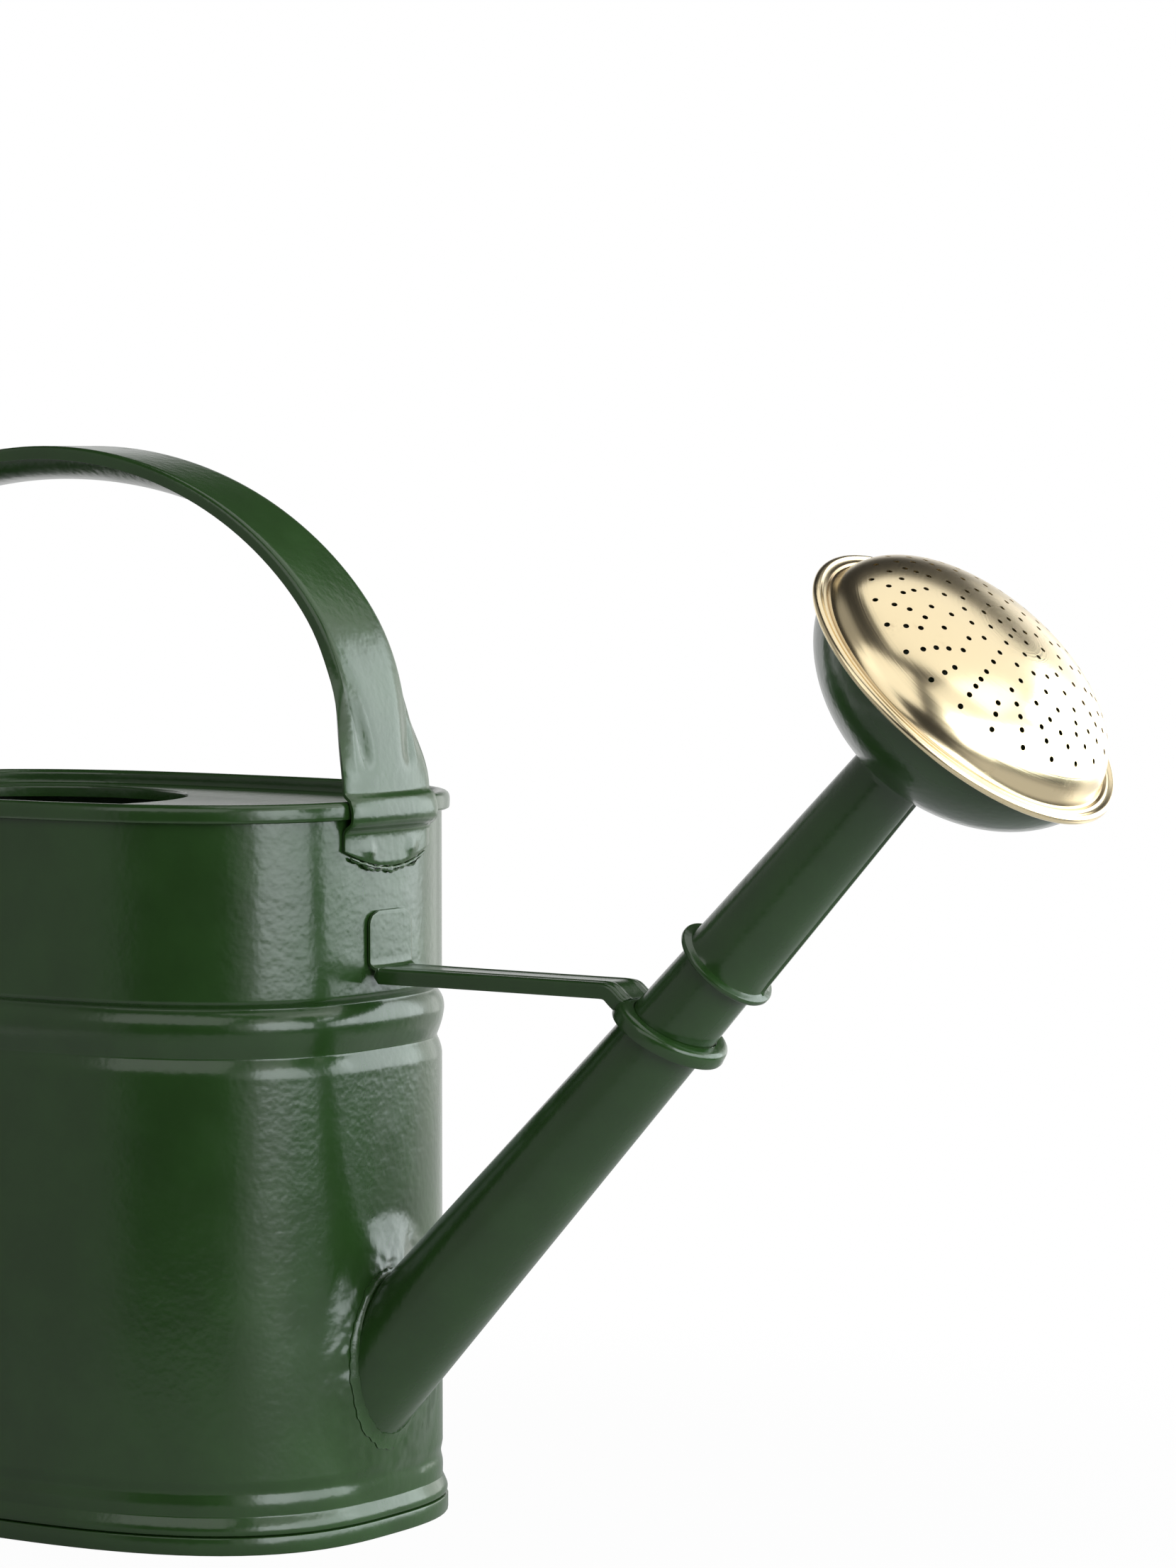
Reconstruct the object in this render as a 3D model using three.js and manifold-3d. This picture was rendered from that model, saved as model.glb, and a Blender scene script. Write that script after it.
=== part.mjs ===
// Watering can of painted sheet steel with a pull-off sprinkling rose that has a brass face.
// Millimetres, +Z up. The body's vertical axis is x = 0, y = 0 and the floor is z = 0 until the
// last lines, which centre the whole can over the origin. The spout points along +X.
import * as THREE from "three";
import { mergeVertices } from "three/addons/utils/BufferGeometryUtils.js";
import Module from "manifold-3d";

const wasm = await Module();
wasm.setup();

// ---- driving dimensions ----
const GAP = 0.3; // air left between two pieces that are joined or fitted
const SHEET = 0.8; // steel sheet of the body, the plates, the spout and the rose
const STRAP_SHEET = 1.0; // heavier sheet of the handle and the brace

const BODY_LENGTH = 202;
const BODY_WIDTH = 135;
const BODY_HEIGHT = 217;
const OVAL_POWER = 2.8; // 2 would be an ellipse, more is squarer
const BODY_FACETS = 48;

const BEAD_BELOW_RIM = 65.1; // middle of the swaged band round the body
const BASE_RECESS = 5; // underside of the bottom plate above the floor
const BASE_HEM_HEIGHT = 5.3;
const BASE_HEM_OUT = 1.5;
const RIM_OUT = 2.2;
const RIM_DEPTH = 5.4;
const DECK_RECESS = 4.2;

const HOLE_RADIUS = 52;
const HOLE_LEDGE = 10; // deck left between the rear wall and the filler hole
const HOLE_FACETS = 40;
const HOLE_LIP_DEPTH = 3.6;

const HANDLE_REAR_OUT = 39.1; // how far the handle swings out behind the rear wall
const HANDLE_RISE = 102.4; // crown of the handle above the rim of the body
const HANDLE_DROP = 111; // the same below the rim, for the quarter behind the body
const HANDLE_FLANGE = 4;
const HANDLE_SPREAD_LOW = 10; // heights above a foot where the fold starts to open, and is whole
const HANDLE_SPREAD_HIGH = 34;
const FOLD_AT_CROWN = 13.8; // half widths of the flat of the strap
const FOLD_AT_FOOT = 15.9;
const FOLD_END = 11;
const STRAP_AT_FOOT = 21;
const FRONT_TAB_DROP = 19.5; // rim top to the lower edge of the front tab
const REAR_TAB_LENGTH = 19;
const TAB_ROUNDING = 5; // how far the corners of a tab lie above the middle of its edge
const TAB_SOLDER = 0.6;
const LINER_BULGE = 6;
const LINER_REACH = 78; // half length of the grip liner, measured along x

const SPOUT_ANGLE = THREE.MathUtils.degToRad(46.18);
const SPOUT_SET_BACK = 50.5; // from the front wall back to where the spout's axis meets the floor
const SPOUT_ROOT = 40; // distances along the spout's axis start at the floor
const SPOUT_THROUGH_WALL = 130; // beyond this the spout is clear of the wall
const SPOUT_END = 275;
const SPOUT_END_RADIUS = 10.65;
const SPOUT_TAPER = 0.028;
const SPOUT_FACETS = 24;

const SOCKET_START = 241;
const SOCKET_END = 322;
const SOCKET_CLEARANCE = 0.32;
const COLLAR_WIDTH = 3.4;

const ROSE_FACETS = 28;
const BOWL_RADIUS = 46.6;
const BOWL_RIM = 351.6; // place of the rose's rim along the spout's axis
const BOWL_DEPTH = 31.4;
const BOWL_FLANGE = 2; // the bowl's own edge, inside the fold of the brass
const FACE_OVERHANG = 4.4; // the brass flange outside the bowl
const DOME_INSET = 1; // the dome inside the bowl's edge
const DOME_HEIGHT = 22.5;
const DOME_FOOT = 1.4; // where the dome springs, above the rose's rim
const FACE_FLANGE_IN = 3.6; // how far the brass flange is folded in behind the bowl's rim
const SPRAY_HOLE_RADIUS = 0.95;
const SPRAY_HOLE_SIDES = 3;
const SPRAY_PHASE = THREE.MathUtils.degToRad(-66);
// Rings of spray holes: share of the dome's radius, and count.
const SPRAY_RINGS = [
  [0, 1],
  [0.11, 4],
  [0.22, 9],
  [0.36, 16],
  [0.48, 15],
  [0.588, 20],
  [0.662, 16],
  [0.728, 24],
  [0.798, 24],
  [0.877, 24],
];

const BRACE_BELOW_RIM = 49;
const BRACE_Z = BODY_HEIGHT - BRACE_BELOW_RIM;
const BRACE_TAB_HEIGHT = 16.5;
const BRACE_TAB_HALF = 10.4;
const BRACE_TAB_CORNER = 4;
const BRACE_HALF = 8.6;
const BRACE_FLANGE = 4.6;
const EYE_DROP = 11.2; // middle of the eye below the top of the brace
const EYE_TILT = THREE.MathUtils.degToRad(15.2);
const EYE_FACE = 3.9;
const EYE_SKIRT = 6.6;

const ROOT_SOLDER = 2.2; // the fringe of solder round the spout's root
const ROOT_SOLDER_THICK = 1.5;

const A = BODY_LENGTH / 2;
const B = BODY_WIDTH / 2;
const HOLE_X = HOLE_LEDGE + HOLE_RADIUS - A;
const SPOUT_START_X = A - SPOUT_SET_BACK;
const EYE_AT = (BRACE_Z - EYE_DROP) / Math.sin(SPOUT_ANGLE); // along the spout's axis
const FACE_RADIUS = BOWL_RADIUS + FACE_OVERHANG;
const DOME_RADIUS = BOWL_RADIUS - DOME_INSET;
// The strap stands off the rim bead in front and swings clear of the wall at the rear.
const STRAP_LEAN = 0.2; // the strap spreads by this much between the rim's edge and its top
const HANDLE_FRONT = A + RIM_OUT + GAP + STRAP_SHEET + STRAP_LEAN;
const HANDLE_SPRING = BODY_HEIGHT + GAP; // height where the arch springs
const HANDLE_REAR = -A - HANDLE_REAR_OUT;
const HANDLE_CENTRE_X = (HANDLE_FRONT + HANDLE_REAR) / 2;
const HANDLE_HALF_SPAN = (HANDLE_FRONT - HANDLE_REAR) / 2;

// ---- solids ----
const GREEN = { color: 0x2f5233, roughness: 0.22, metalness: 0 };
const SOLDER = { color: 0x3a5c3c, roughness: 0.35, metalness: 0 };
const BRASS = { color: 0xd9b767, roughness: 0.25, metalness: 1 };
const group = new THREE.Group();

function toSolid(geometry) {
  const loose = geometry.index ? geometry.toNonIndexed() : geometry;
  const bare = new THREE.BufferGeometry();
  bare.setAttribute("position", loose.getAttribute("position"));
  const merged = mergeVertices(bare, 1e-3);
  const corners = [];
  for (let i = 0; i < merged.index.count; i += 3) {
    const [a, b, c] = [0, 1, 2].map((j) => merged.index.getX(i + j));
    if (a !== b && b !== c && c !== a) corners.push(a, b, c);
  }
  const solid = new wasm.Manifold(new wasm.Mesh({
    numProp: 3,
    vertProperties: merged.attributes.position.array,
    triVerts: new Uint32Array(corners),
  }));
  if (solid.volume() <= 0) throw new Error("a shape came out inside out");
  return solid;
}

function add(name, solid, finish) {
  const mesh = solid.getMesh();
  const geometry = new THREE.BufferGeometry();
  geometry.setAttribute("position", new THREE.BufferAttribute(mesh.vertProperties, 3));
  geometry.setIndex(new THREE.BufferAttribute(mesh.triVerts, 1));
  geometry.computeVertexNormals();
  const material = new THREE.MeshStandardMaterial({ ...finish, name: `${name}_finish` });
  const node = new THREE.Mesh(geometry, material);
  node.name = name;
  group.add(node);
}

// Turns a profile of [radius, height] about +Z. It starts and ends on the axis or closes on itself.
function turned(profile, facets) {
  const onAxis = profile[0][0] === 0 && profile[profile.length - 1][0] === 0;
  let area = 0;
  profile.forEach(([r, z], i) => {
    const [r2, z2] = profile[(i + 1) % profile.length];
    area += r * z2 - r2 * z;
  });
  const points = profile.map(([r, z]) => new THREE.Vector2(r, z));
  if (area < 0) points.reverse();
  if (!onAxis) points.push(points[0].clone());
  return new THREE.LatheGeometry(points, facets).rotateX(Math.PI / 2);
}

// Moves every vertex of a geometry by a function of its place.
function bent(geometry, place) {
  const position = geometry.getAttribute("position");
  const v = new THREE.Vector3();
  for (let i = 0; i < position.count; i++) {
    v.fromBufferAttribute(position, i);
    place(v);
    position.setXYZ(i, v.x, v.y, v.z);
  }
  return geometry;
}

// ---- the oval outline of the body ----
function ovalPoint(angle) {
  const c = Math.cos(angle);
  const s = Math.sin(angle);
  const reach = (Math.abs(c) / A) ** OVAL_POWER + (Math.abs(s) / B) ** OVAL_POWER;
  const r = reach ** (-1 / OVAL_POWER);
  const normal = new THREE.Vector2(
    (Math.sign(c) * Math.abs(r * c) ** (OVAL_POWER - 1)) / A ** OVAL_POWER,
    (Math.sign(s) * Math.abs(r * s) ** (OVAL_POWER - 1)) / B ** OVAL_POWER,
  ).normalize();
  return { at: new THREE.Vector2(r * c, r * s), normal };
}

// A profile of [distance outside the oval, height]; a distance of -Infinity is the centre line.
const NOMINAL = 60;
const MARGIN = 8;
function oval(profile) {
  const radii = profile.map(([out, z]) => [out === -Infinity ? 0 : NOMINAL + out, z]);
  return toSolid(bent(turned(radii, BODY_FACETS), (v) => {
    const rho = Math.hypot(v.x, v.y);
    if (rho < 1e-6) return;
    const { at, normal } = ovalPoint(Math.atan2(v.y, v.x));
    const out = Math.max(rho - NOMINAL, -MARGIN);
    const scale = Math.min(1, rho / (NOMINAL - MARGIN));
    v.x = (at.x + normal.x * out) * scale;
    v.y = (at.y + normal.y * out) * scale;
  }));
}

// Outward distance from the front wall's foremost line, at a place across it.
function wallX(y) {
  return A * (1 - (Math.abs(y) / B) ** OVAL_POWER) ** (1 / OVAL_POWER);
}

function ovalBlock(out, low, high) {
  return oval([[-Infinity, low], [out, low], [out, high], [-Infinity, high]]);
}

// ---- the spout's axis ----
const alongSpout = new THREE.Matrix4()
  .makeBasis(
    new THREE.Vector3(Math.sin(SPOUT_ANGLE), 0, -Math.cos(SPOUT_ANGLE)),
    new THREE.Vector3(0, 1, 0),
    new THREE.Vector3(Math.cos(SPOUT_ANGLE), 0, Math.sin(SPOUT_ANGLE)),
  )
  .setPosition(SPOUT_START_X, 0, 0);

function onSpout(profile, facets) {
  return toSolid(turned(profile, facets).applyMatrix4(alongSpout));
}

function spoutRadius(s) {
  return SPOUT_END_RADIUS + (SPOUT_END - s) * SPOUT_TAPER;
}

function spoutCone(from, to, out, facets) {
  return onSpout([
    [0, from],
    [spoutRadius(from) + out, from],
    [spoutRadius(to) + out, to],
    [0, to],
  ], facets);
}

// ---- body, bottom and deck ----
const wallLow = SHEET + GAP;
const wallHigh = BODY_HEIGHT - SHEET - GAP;
const beadMiddle = BODY_HEIGHT - BEAD_BELOW_RIM;
const wallLine = [
  [0, wallLow],
  [0, 5.6],
  [0.6, 10.7],
  [0.2, 15.2],
  [-1, 16.4],
  [0, 19.5],
  [0, beadMiddle - 13],
  [-1.3, beadMiddle - 7.2],
  [0.1, beadMiddle - 3.6],
  [0.6, beadMiddle + 0.2],
  [0.1, beadMiddle + 5],
  [-1.3, beadMiddle + 9.7],
  [0, beadMiddle + 12.4],
  [0, wallHigh],
];
const innerLine = wallLine.map(([out, z]) => [out - SHEET, z]).reverse();
const spoutBore = spoutCone(SPOUT_ROOT, SPOUT_THROUGH_WALL, -SHEET, SPOUT_FACETS);
add("body_shell", oval([...wallLine, ...innerLine]).subtract(spoutBore), GREEN);

const legOut = -SHEET - GAP;
add("base_plate", oval([
  [-Infinity, BASE_RECESS],
  [legOut - SHEET, BASE_RECESS],
  [legOut - SHEET, 0.5],
  [legOut - 0.3, 0],
  [BASE_HEM_OUT - 0.5, 0],
  [BASE_HEM_OUT, 0.7],
  [BASE_HEM_OUT, BASE_HEM_HEIGHT - 0.8],
  [GAP + 0.5, BASE_HEM_HEIGHT],
  [GAP, BASE_HEM_HEIGHT],
  [GAP, SHEET],
  [legOut, SHEET],
  [legOut, BASE_RECESS + SHEET],
  [-Infinity, BASE_RECESS + SHEET],
]), GREEN);

const deckTop = BODY_HEIGHT - DECK_RECESS;
const deck = oval([
  [-Infinity, deckTop - SHEET],
  [legOut, deckTop - SHEET],
  [legOut, BODY_HEIGHT - SHEET],
  [GAP, BODY_HEIGHT - SHEET],
  [GAP, BODY_HEIGHT - RIM_DEPTH],
  [RIM_OUT - 0.8, BODY_HEIGHT - RIM_DEPTH],
  [RIM_OUT, BODY_HEIGHT - RIM_DEPTH + 1.2],
  [RIM_OUT, BODY_HEIGHT - 1.6],
  [RIM_OUT - 0.9, BODY_HEIGHT - 0.3],
  [0.2, BODY_HEIGHT],
  [legOut - 0.3, BODY_HEIGHT - 0.2],
  [legOut - SHEET, BODY_HEIGHT - 1],
  [legOut - SHEET, deckTop],
  [-Infinity, deckTop],
]);
const holeCut = toSolid(turned([
  [0, deckTop - 10],
  [HOLE_RADIUS + 0.4, deckTop - 10],
  [HOLE_RADIUS + 0.4, deckTop + 10],
  [0, deckTop + 10],
], HOLE_FACETS).translate(HOLE_X, 0, 0));
const holeLip = toSolid(turned([
  [HOLE_RADIUS, deckTop - HOLE_LIP_DEPTH],
  [HOLE_RADIUS + SHEET, deckTop - HOLE_LIP_DEPTH],
  [HOLE_RADIUS + SHEET, deckTop],
  [HOLE_RADIUS + 0.3, deckTop],
  [HOLE_RADIUS, deckTop - 0.4],
], HOLE_FACETS).translate(HOLE_X, 0, 0));
add("top_deck", deck.subtract(holeCut).add(holeLip), GREEN);

// ---- strips and folded straps ----
// A flat strip with one row of vertices for each station. Its vertices reach the function that
// places them with x from -1 to 1 across the strip and y from 0, outside, to -1, inside.
function strip(stations, columns, place) {
  const rows = stations.length - 1;
  const flatStrip = new THREE.BoxGeometry(2, 1, rows, columns, 1, rows);
  return toSolid(bent(flatStrip.translate(0, -0.5, rows / 2), (v) => {
    const row = Math.round(v.z);
    place(v, stations[row], row / rows);
  }));
}

// Bends a flat strip, whose flanges fold down by an angle, onto a line in the plane y = 0.
// Stations hold the place, the heading, the fold's half width, the flange and the fold's angle.
function foldedStrap(stations, thickness) {
  return strip(stations, 4, (v, here) => {
    const column = 2 * v.x;
    const side = Math.sign(column);
    const t = v.y * thickness;
    const cos = Math.cos(here.angle);
    const sin = Math.sin(here.angle);
    let reach = side === 0 ? 0 : here.fold + t * Math.tan(here.angle / 2);
    let up = t;
    if (Math.abs(column) > 1.5) {
      reach = here.fold + here.flange * cos + t * sin;
      up = -here.flange * sin + t * cos;
    }
    const cup = here.cup ? here.cup(reach) : 0;
    const drop = here.drop ? here.drop(reach) : 0;
    v.set(here.x + here.hz * up - cup, -side * reach, here.z - here.hx * up + drop);
  });
}

function stationsOf(curve, count, skipFirst) {
  const list = [];
  for (let i = skipFirst ? 1 : 0; i <= count; i++) {
    const at = curve.getPoint(i / count);
    const heading = curve.getTangent(i / count);
    list.push({ x: at.x, z: at.y, hx: heading.x, hz: heading.y });
  }
  return list;
}

const flat = (x, z) => new THREE.Vector2(x, z);
const tabFace = A + GAP + STRAP_SHEET;
const overRim = HANDLE_FRONT - STRAP_LEAN;
const tabEnd = BODY_HEIGHT - FRONT_TAB_DROP;
const rimLow = BODY_HEIGHT - RIM_DEPTH;
const jog = new THREE.CubicBezierCurve(
  flat(tabFace, rimLow - 4.6),
  flat(tabFace, rimLow - 2.2),
  flat(overRim, rimLow - 2.6),
  flat(overRim, rimLow - 0.4),
);
const over = new THREE.LineCurve(jog.v3, flat(HANDLE_FRONT, HANDLE_SPRING));
const crown = new THREE.EllipseCurve(
  HANDLE_CENTRE_X, HANDLE_SPRING, HANDLE_HALF_SPAN, HANDLE_RISE, 0, Math.PI, false,
);
const rearFaceX = -A - GAP - STRAP_SHEET;
const landing = Math.acos((HANDLE_CENTRE_X - rearFaceX + 4) / HANDLE_HALF_SPAN);
const swing = new THREE.EllipseCurve(
  HANDLE_CENTRE_X, HANDLE_SPRING, HANDLE_HALF_SPAN, HANDLE_DROP,
  Math.PI, Math.PI + landing, false,
);
const swingEnd = swing.getPoint(1);
const swingHeading = swing.getTangent(1);
const bend = new THREE.QuadraticBezierCurve(
  swingEnd,
  flat(rearFaceX, swingEnd.y + (swingHeading.y / swingHeading.x) * (rearFaceX - swingEnd.x)),
  flat(rearFaceX, swingEnd.y - 9),
);
const rearTab = new THREE.LineCurve(bend.v2, flat(rearFaceX, bend.v2.y - REAR_TAB_LENGTH));

function ramp(value, from, to) {
  return THREE.MathUtils.smoothstep(value, from, to);
}
// Half width of the flat, the flange and how far it is folded, by height above the foot.
function handleSection(station, above) {
  const crownward = THREE.MathUtils.clamp(above / HANDLE_RISE, 0, 1);
  const plain = THREE.MathUtils.lerp(FOLD_AT_FOOT, FOLD_AT_CROWN, crownward);
  const open = 1 - ramp(above, HANDLE_SPREAD_LOW, HANDLE_SPREAD_HIGH);
  station.fold = THREE.MathUtils.lerp(plain, FOLD_END, open);
  station.flange = THREE.MathUtils.lerp(HANDLE_FLANGE, STRAP_AT_FOOT - FOLD_END, open);
  station.angle = (1 - open) * (Math.PI / 2);
}
function aboveFoot(station) {
  return station.z - (station.x > HANDLE_CENTRE_X ? BODY_HEIGHT : swingEnd.y);
}
// The tabs follow the oval wall, and their lower edges are rounded.
function seatOnWall(station, front, onTab) {
  const wall = (across) => A - wallX(across);
  station.cup = (across) => (front ? wall(across) : -wall(across)) * onTab;
}
const frontFoot = [
  ...stationsOf(new THREE.LineCurve(flat(tabFace, tabEnd), jog.v0), 2),
  ...stationsOf(jog, 6, true),
  ...stationsOf(over, 2, true),
];
frontFoot.forEach((station) => {
  handleSection(station, 0);
  seatOnWall(station, true, 1);
});
const tabRise = (across) => TAB_ROUNDING * (across / STRAP_AT_FOOT) ** 2;
frontFoot[0].drop = tabRise;
const arch = [...stationsOf(crown, 40, true), ...stationsOf(swing, 10, true)];
arch.forEach((station) => {
  const above = aboveFoot(station);
  handleSection(station, above);
  seatOnWall(station, station.x > HANDLE_CENTRE_X, 1 - ramp(above, 0, 30));
});
const rearFoot = [...stationsOf(bend, 5, true), ...stationsOf(rearTab, 2, true)];
rearFoot.forEach((station) => {
  handleSection(station, 0);
  seatOnWall(station, false, 1);
});
rearFoot[rearFoot.length - 1].drop = tabRise;
add("handle_strap", foldedStrap([...frontFoot, ...arch, ...rearFoot], STRAP_SHEET), GREEN);

// ---- grip liner: a shallow trough closing the underside of the crown ----
function gripLiner() {
  const low = Math.acos(LINER_REACH / HANDLE_HALF_SPAN);
  const line = new THREE.EllipseCurve(
    HANDLE_CENTRE_X, HANDLE_SPRING, HANDLE_HALF_SPAN, HANDLE_RISE,
    low, Math.PI - low, false,
  );
  const stations = stationsOf(line, 22);
  stations.forEach((station) => handleSection(station, aboveFoot(station)));
  return strip(stations, 6, (v, here, along) => {
    const half = here.fold - STRAP_SHEET - GAP;
    const swell = Math.sin(Math.PI * along) ** 0.8;
    const bulge = (LINER_BULGE + 1.2) * swell * (1 - Math.abs(v.x) ** 2.6);
    const up = v.y * SHEET - (HANDLE_FLANGE - SHEET - 0.4) - bulge;
    v.set(here.x + here.hz * up, -v.x * half, here.z - here.hx * up);
  });
}
add("handle_grip_liner", gripLiner(), GREEN);

// ---- solder runs along the lower edges of the handle's tabs ----
function tabSolder(front, edgeZ) {
  const rod = new THREE.CylinderGeometry(1, 1, 2, 6, 14).rotateZ(Math.PI / 2);
  return toSolid(bent(rod, (v) => {
    const across = v.x * (STRAP_AT_FOOT - 2.5);
    const lump = TAB_SOLDER + 0.12 * Math.sin(across * 1.7);
    const seat = wallX(across) + GAP + 0.1 + TAB_SOLDER;
    const edge = edgeZ + tabRise(across) - GAP - TAB_SOLDER - 0.15;
    const out = seat + v.y * lump;
    v.set(front ? out : -out, front ? -across : across, edge + v.z * lump);
  }));
}
add("handle_front_solder", tabSolder(true, tabEnd), SOLDER);
add("handle_rear_solder", tabSolder(false, rearTab.v2.y), SOLDER);

// ---- spout and the solder round its root ----
const spoutBlank = onSpout([
  [spoutRadius(SPOUT_ROOT), SPOUT_ROOT],
  [spoutRadius(SPOUT_END), SPOUT_END],
  [spoutRadius(SPOUT_END) - SHEET, SPOUT_END],
  [spoutRadius(SPOUT_ROOT) - SHEET, SPOUT_ROOT],
], SPOUT_FACETS);
// Everything within a clearance of the body's wall, taller than the can.
const wallRoom = ovalBlock(GAP, -BODY_HEIGHT, 2 * BODY_HEIGHT);
add("spout_tube", spoutBlank.subtract(wallRoom), GREEN);

const wallBand = ovalBlock(GAP + ROOT_SOLDER_THICK, 0, BODY_HEIGHT).subtract(wallRoom);
const fillet = spoutCone(SPOUT_ROOT, SPOUT_THROUGH_WALL, GAP + ROOT_SOLDER, SPOUT_FACETS)
  .subtract(spoutCone(SPOUT_ROOT - 10, SPOUT_THROUGH_WALL + 10, GAP, SPOUT_FACETS));
const frontHalf = toSolid(
  new THREE.BoxGeometry(BODY_LENGTH, BODY_WIDTH, 2 * BODY_HEIGHT).translate(A * 1.5, 0, 0),
);
add("spout_solder", fillet.intersect(wallBand).intersect(frontHalf), SOLDER);

// ---- brace: tab on the wall, folded strap and an eye round the spout ----
function braceTab() {
  const half = BRACE_TAB_HALF;
  const top = BRACE_Z + BRACE_TAB_HEIGHT;
  const pieces = 8;
  const shape = new THREE.Shape();
  const low = BRACE_Z - STRAP_SHEET / 2;
  shape.moveTo(-half, low);
  for (let i = 1; i < pieces; i++) shape.lineTo(-half + (2 * half * i) / pieces, low);
  shape.lineTo(half, low);
  const inner = half - BRACE_TAB_CORNER;
  const shoulder = top - BRACE_TAB_CORNER;
  shape.lineTo(half, shoulder);
  shape.absarc(inner, shoulder, BRACE_TAB_CORNER, 0, Math.PI / 2, false);
  for (let i = 1; i < 4; i++) shape.lineTo(inner * (1 - i / 2), top);
  shape.absarc(-inner, shoulder, BRACE_TAB_CORNER, Math.PI / 2, Math.PI, false);
  const options = { depth: STRAP_SHEET + 1, bevelEnabled: false, curveSegments: 4 };
  const plate = new THREE.ExtrudeGeometry(shape, options);
  // The plate starts inside the wall, which trims it later.
  return toSolid(bent(plate, (v) => v.set(wallX(v.x) + GAP - 1 + v.z, v.x, v.y)));
}

const eye = new THREE.Matrix4()
  .makeRotationY(-EYE_TILT)
  .premultiply(alongSpout)
  .setPosition(new THREE.Vector3(0, 0, EYE_AT).applyMatrix4(alongSpout));
const eyeAcross = spoutRadius(EYE_AT) + GAP + EYE_FACE;
const eyeLong = spoutRadius(EYE_AT) / Math.cos(EYE_TILT) + GAP + EYE_FACE;

function eyeBlock(inset, from, to) {
  const shape = new THREE.Shape();
  shape.absellipse(0, 0, eyeLong - inset, eyeAcross - inset, 0, 2 * Math.PI, false);
  const block = new THREE.ExtrudeGeometry(shape, {
    depth: to - from,
    steps: 2,
    curveSegments: 14,
    bevelEnabled: false,
  });
  // The skirt leans along the spout at the rear and hangs square to the face at the front.
  bent(block.translate(0, 0, from), (v) => {
    const rear = 0.5 - (0.5 * v.x) / eyeLong;
    v.x += v.z * Math.tan(EYE_TILT) * Math.max(rear, 0);
  });
  return toSolid(block.applyMatrix4(eye));
}

function brace() {
  const eyeRear = new THREE.Vector3(-eyeLong, 0, 0).applyMatrix4(eye);
  const eyeSlope = new THREE.Vector3(1, 0, 0).transformDirection(eye);
  const start = wallX(0) - 1;
  const turn = eyeRear.x - 8;
  const line = [
    ...stationsOf(new THREE.LineCurve(flat(start, BRACE_Z), flat(turn, BRACE_Z)), 2),
    ...stationsOf(new THREE.CubicBezierCurve(
      flat(turn, BRACE_Z),
      flat(turn + 4, BRACE_Z),
      flat(eyeRear.x - 2 * eyeSlope.x, eyeRear.z - 0.2 - 2 * eyeSlope.z),
      flat(eyeRear.x + 1.5 * eyeSlope.x, eyeRear.z - 0.2 + 1.5 * eyeSlope.z),
    ), 6, true),
  ];
  line.forEach((station) => {
    station.fold = BRACE_HALF;
    station.flange = BRACE_FLANGE;
    station.angle = Math.PI / 2;
    station.hx *= -1;
    station.hz *= -1;
  });
  // The strap's flanges fold downwards when its line is walked from the eye to the wall.
  const strap = foldedStrap(line.reverse(), STRAP_SHEET);
  const eyeRoom = eyeBlock(STRAP_SHEET, -EYE_SKIRT - 2, -STRAP_SHEET);
  const spoutRoom = spoutCone(SPOUT_THROUGH_WALL, SPOUT_END, GAP, SPOUT_FACETS);
  return strap
    .add(eyeBlock(0, -EYE_SKIRT, 0))
    .subtract(eyeRoom)
    .add(braceTab())
    .subtract(spoutRoom)
    .subtract(wallRoom);
}
add("brace", brace(), GREEN);

// ---- rose: socket, bowl and perforated face ----
function socketRadius(s) {
  return spoutRadius(s) + SOCKET_CLEARANCE;
}
const socketLip = socketRadius(SOCKET_START);
add("rose_socket", onSpout([
  [socketLip, SOCKET_START],
  [socketLip + COLLAR_WIDTH - 0.4, SOCKET_START],
  [socketLip + COLLAR_WIDTH, SOCKET_START + 0.5],
  [socketLip + COLLAR_WIDTH, SOCKET_START + 1.3],
  [socketLip + COLLAR_WIDTH - 0.5, SOCKET_START + 1.8],
  [socketLip + SHEET + 0.8, SOCKET_START + 1.9],
  [socketLip + SHEET, SOCKET_START + 3],
  [socketRadius(SOCKET_END) + SHEET, SOCKET_END],
  [socketRadius(SOCKET_END), SOCKET_END],
], SPOUT_FACETS), GREEN);

function bowlLine(inset, steps) {
  const neck = socketRadius(SOCKET_END) + SHEET + GAP;
  const list = [];
  for (let i = 0; i <= steps; i++) {
    const x = Math.sin((i / steps) * (Math.PI / 2));
    const r = (BOWL_RADIUS - inset) * (1 - x ** 1.737) ** (1 / 1.962);
    const s = BOWL_RIM - (BOWL_DEPTH - inset) * x;
    if (r > neck + 0.6) list.push([r, s]);
  }
  return list;
}
const neck = socketRadius(SOCKET_END) + SHEET + GAP;
const bowlOuter = bowlLine(0, 7);
const bowlInner = bowlLine(SHEET, 7);
const bowlFlange = BOWL_RADIUS + BOWL_FLANGE;
const neckOuter = bowlOuter[bowlOuter.length - 1];
const neckInner = bowlInner[bowlInner.length - 1];
add("rose_bowl", onSpout([
  [bowlFlange, BOWL_RIM + SHEET],
  [bowlFlange, BOWL_RIM],
  ...bowlOuter,
  [neck, Math.min(neckOuter[1], neckInner[1]) - 1.4],
  [neck, Math.min(neckOuter[1], neckInner[1]) + 0.2],
  ...bowlInner.reverse().slice(0, -1),
  [BOWL_RADIUS - SHEET, BOWL_RIM + SHEET],
], ROSE_FACETS), GREEN);

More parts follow.
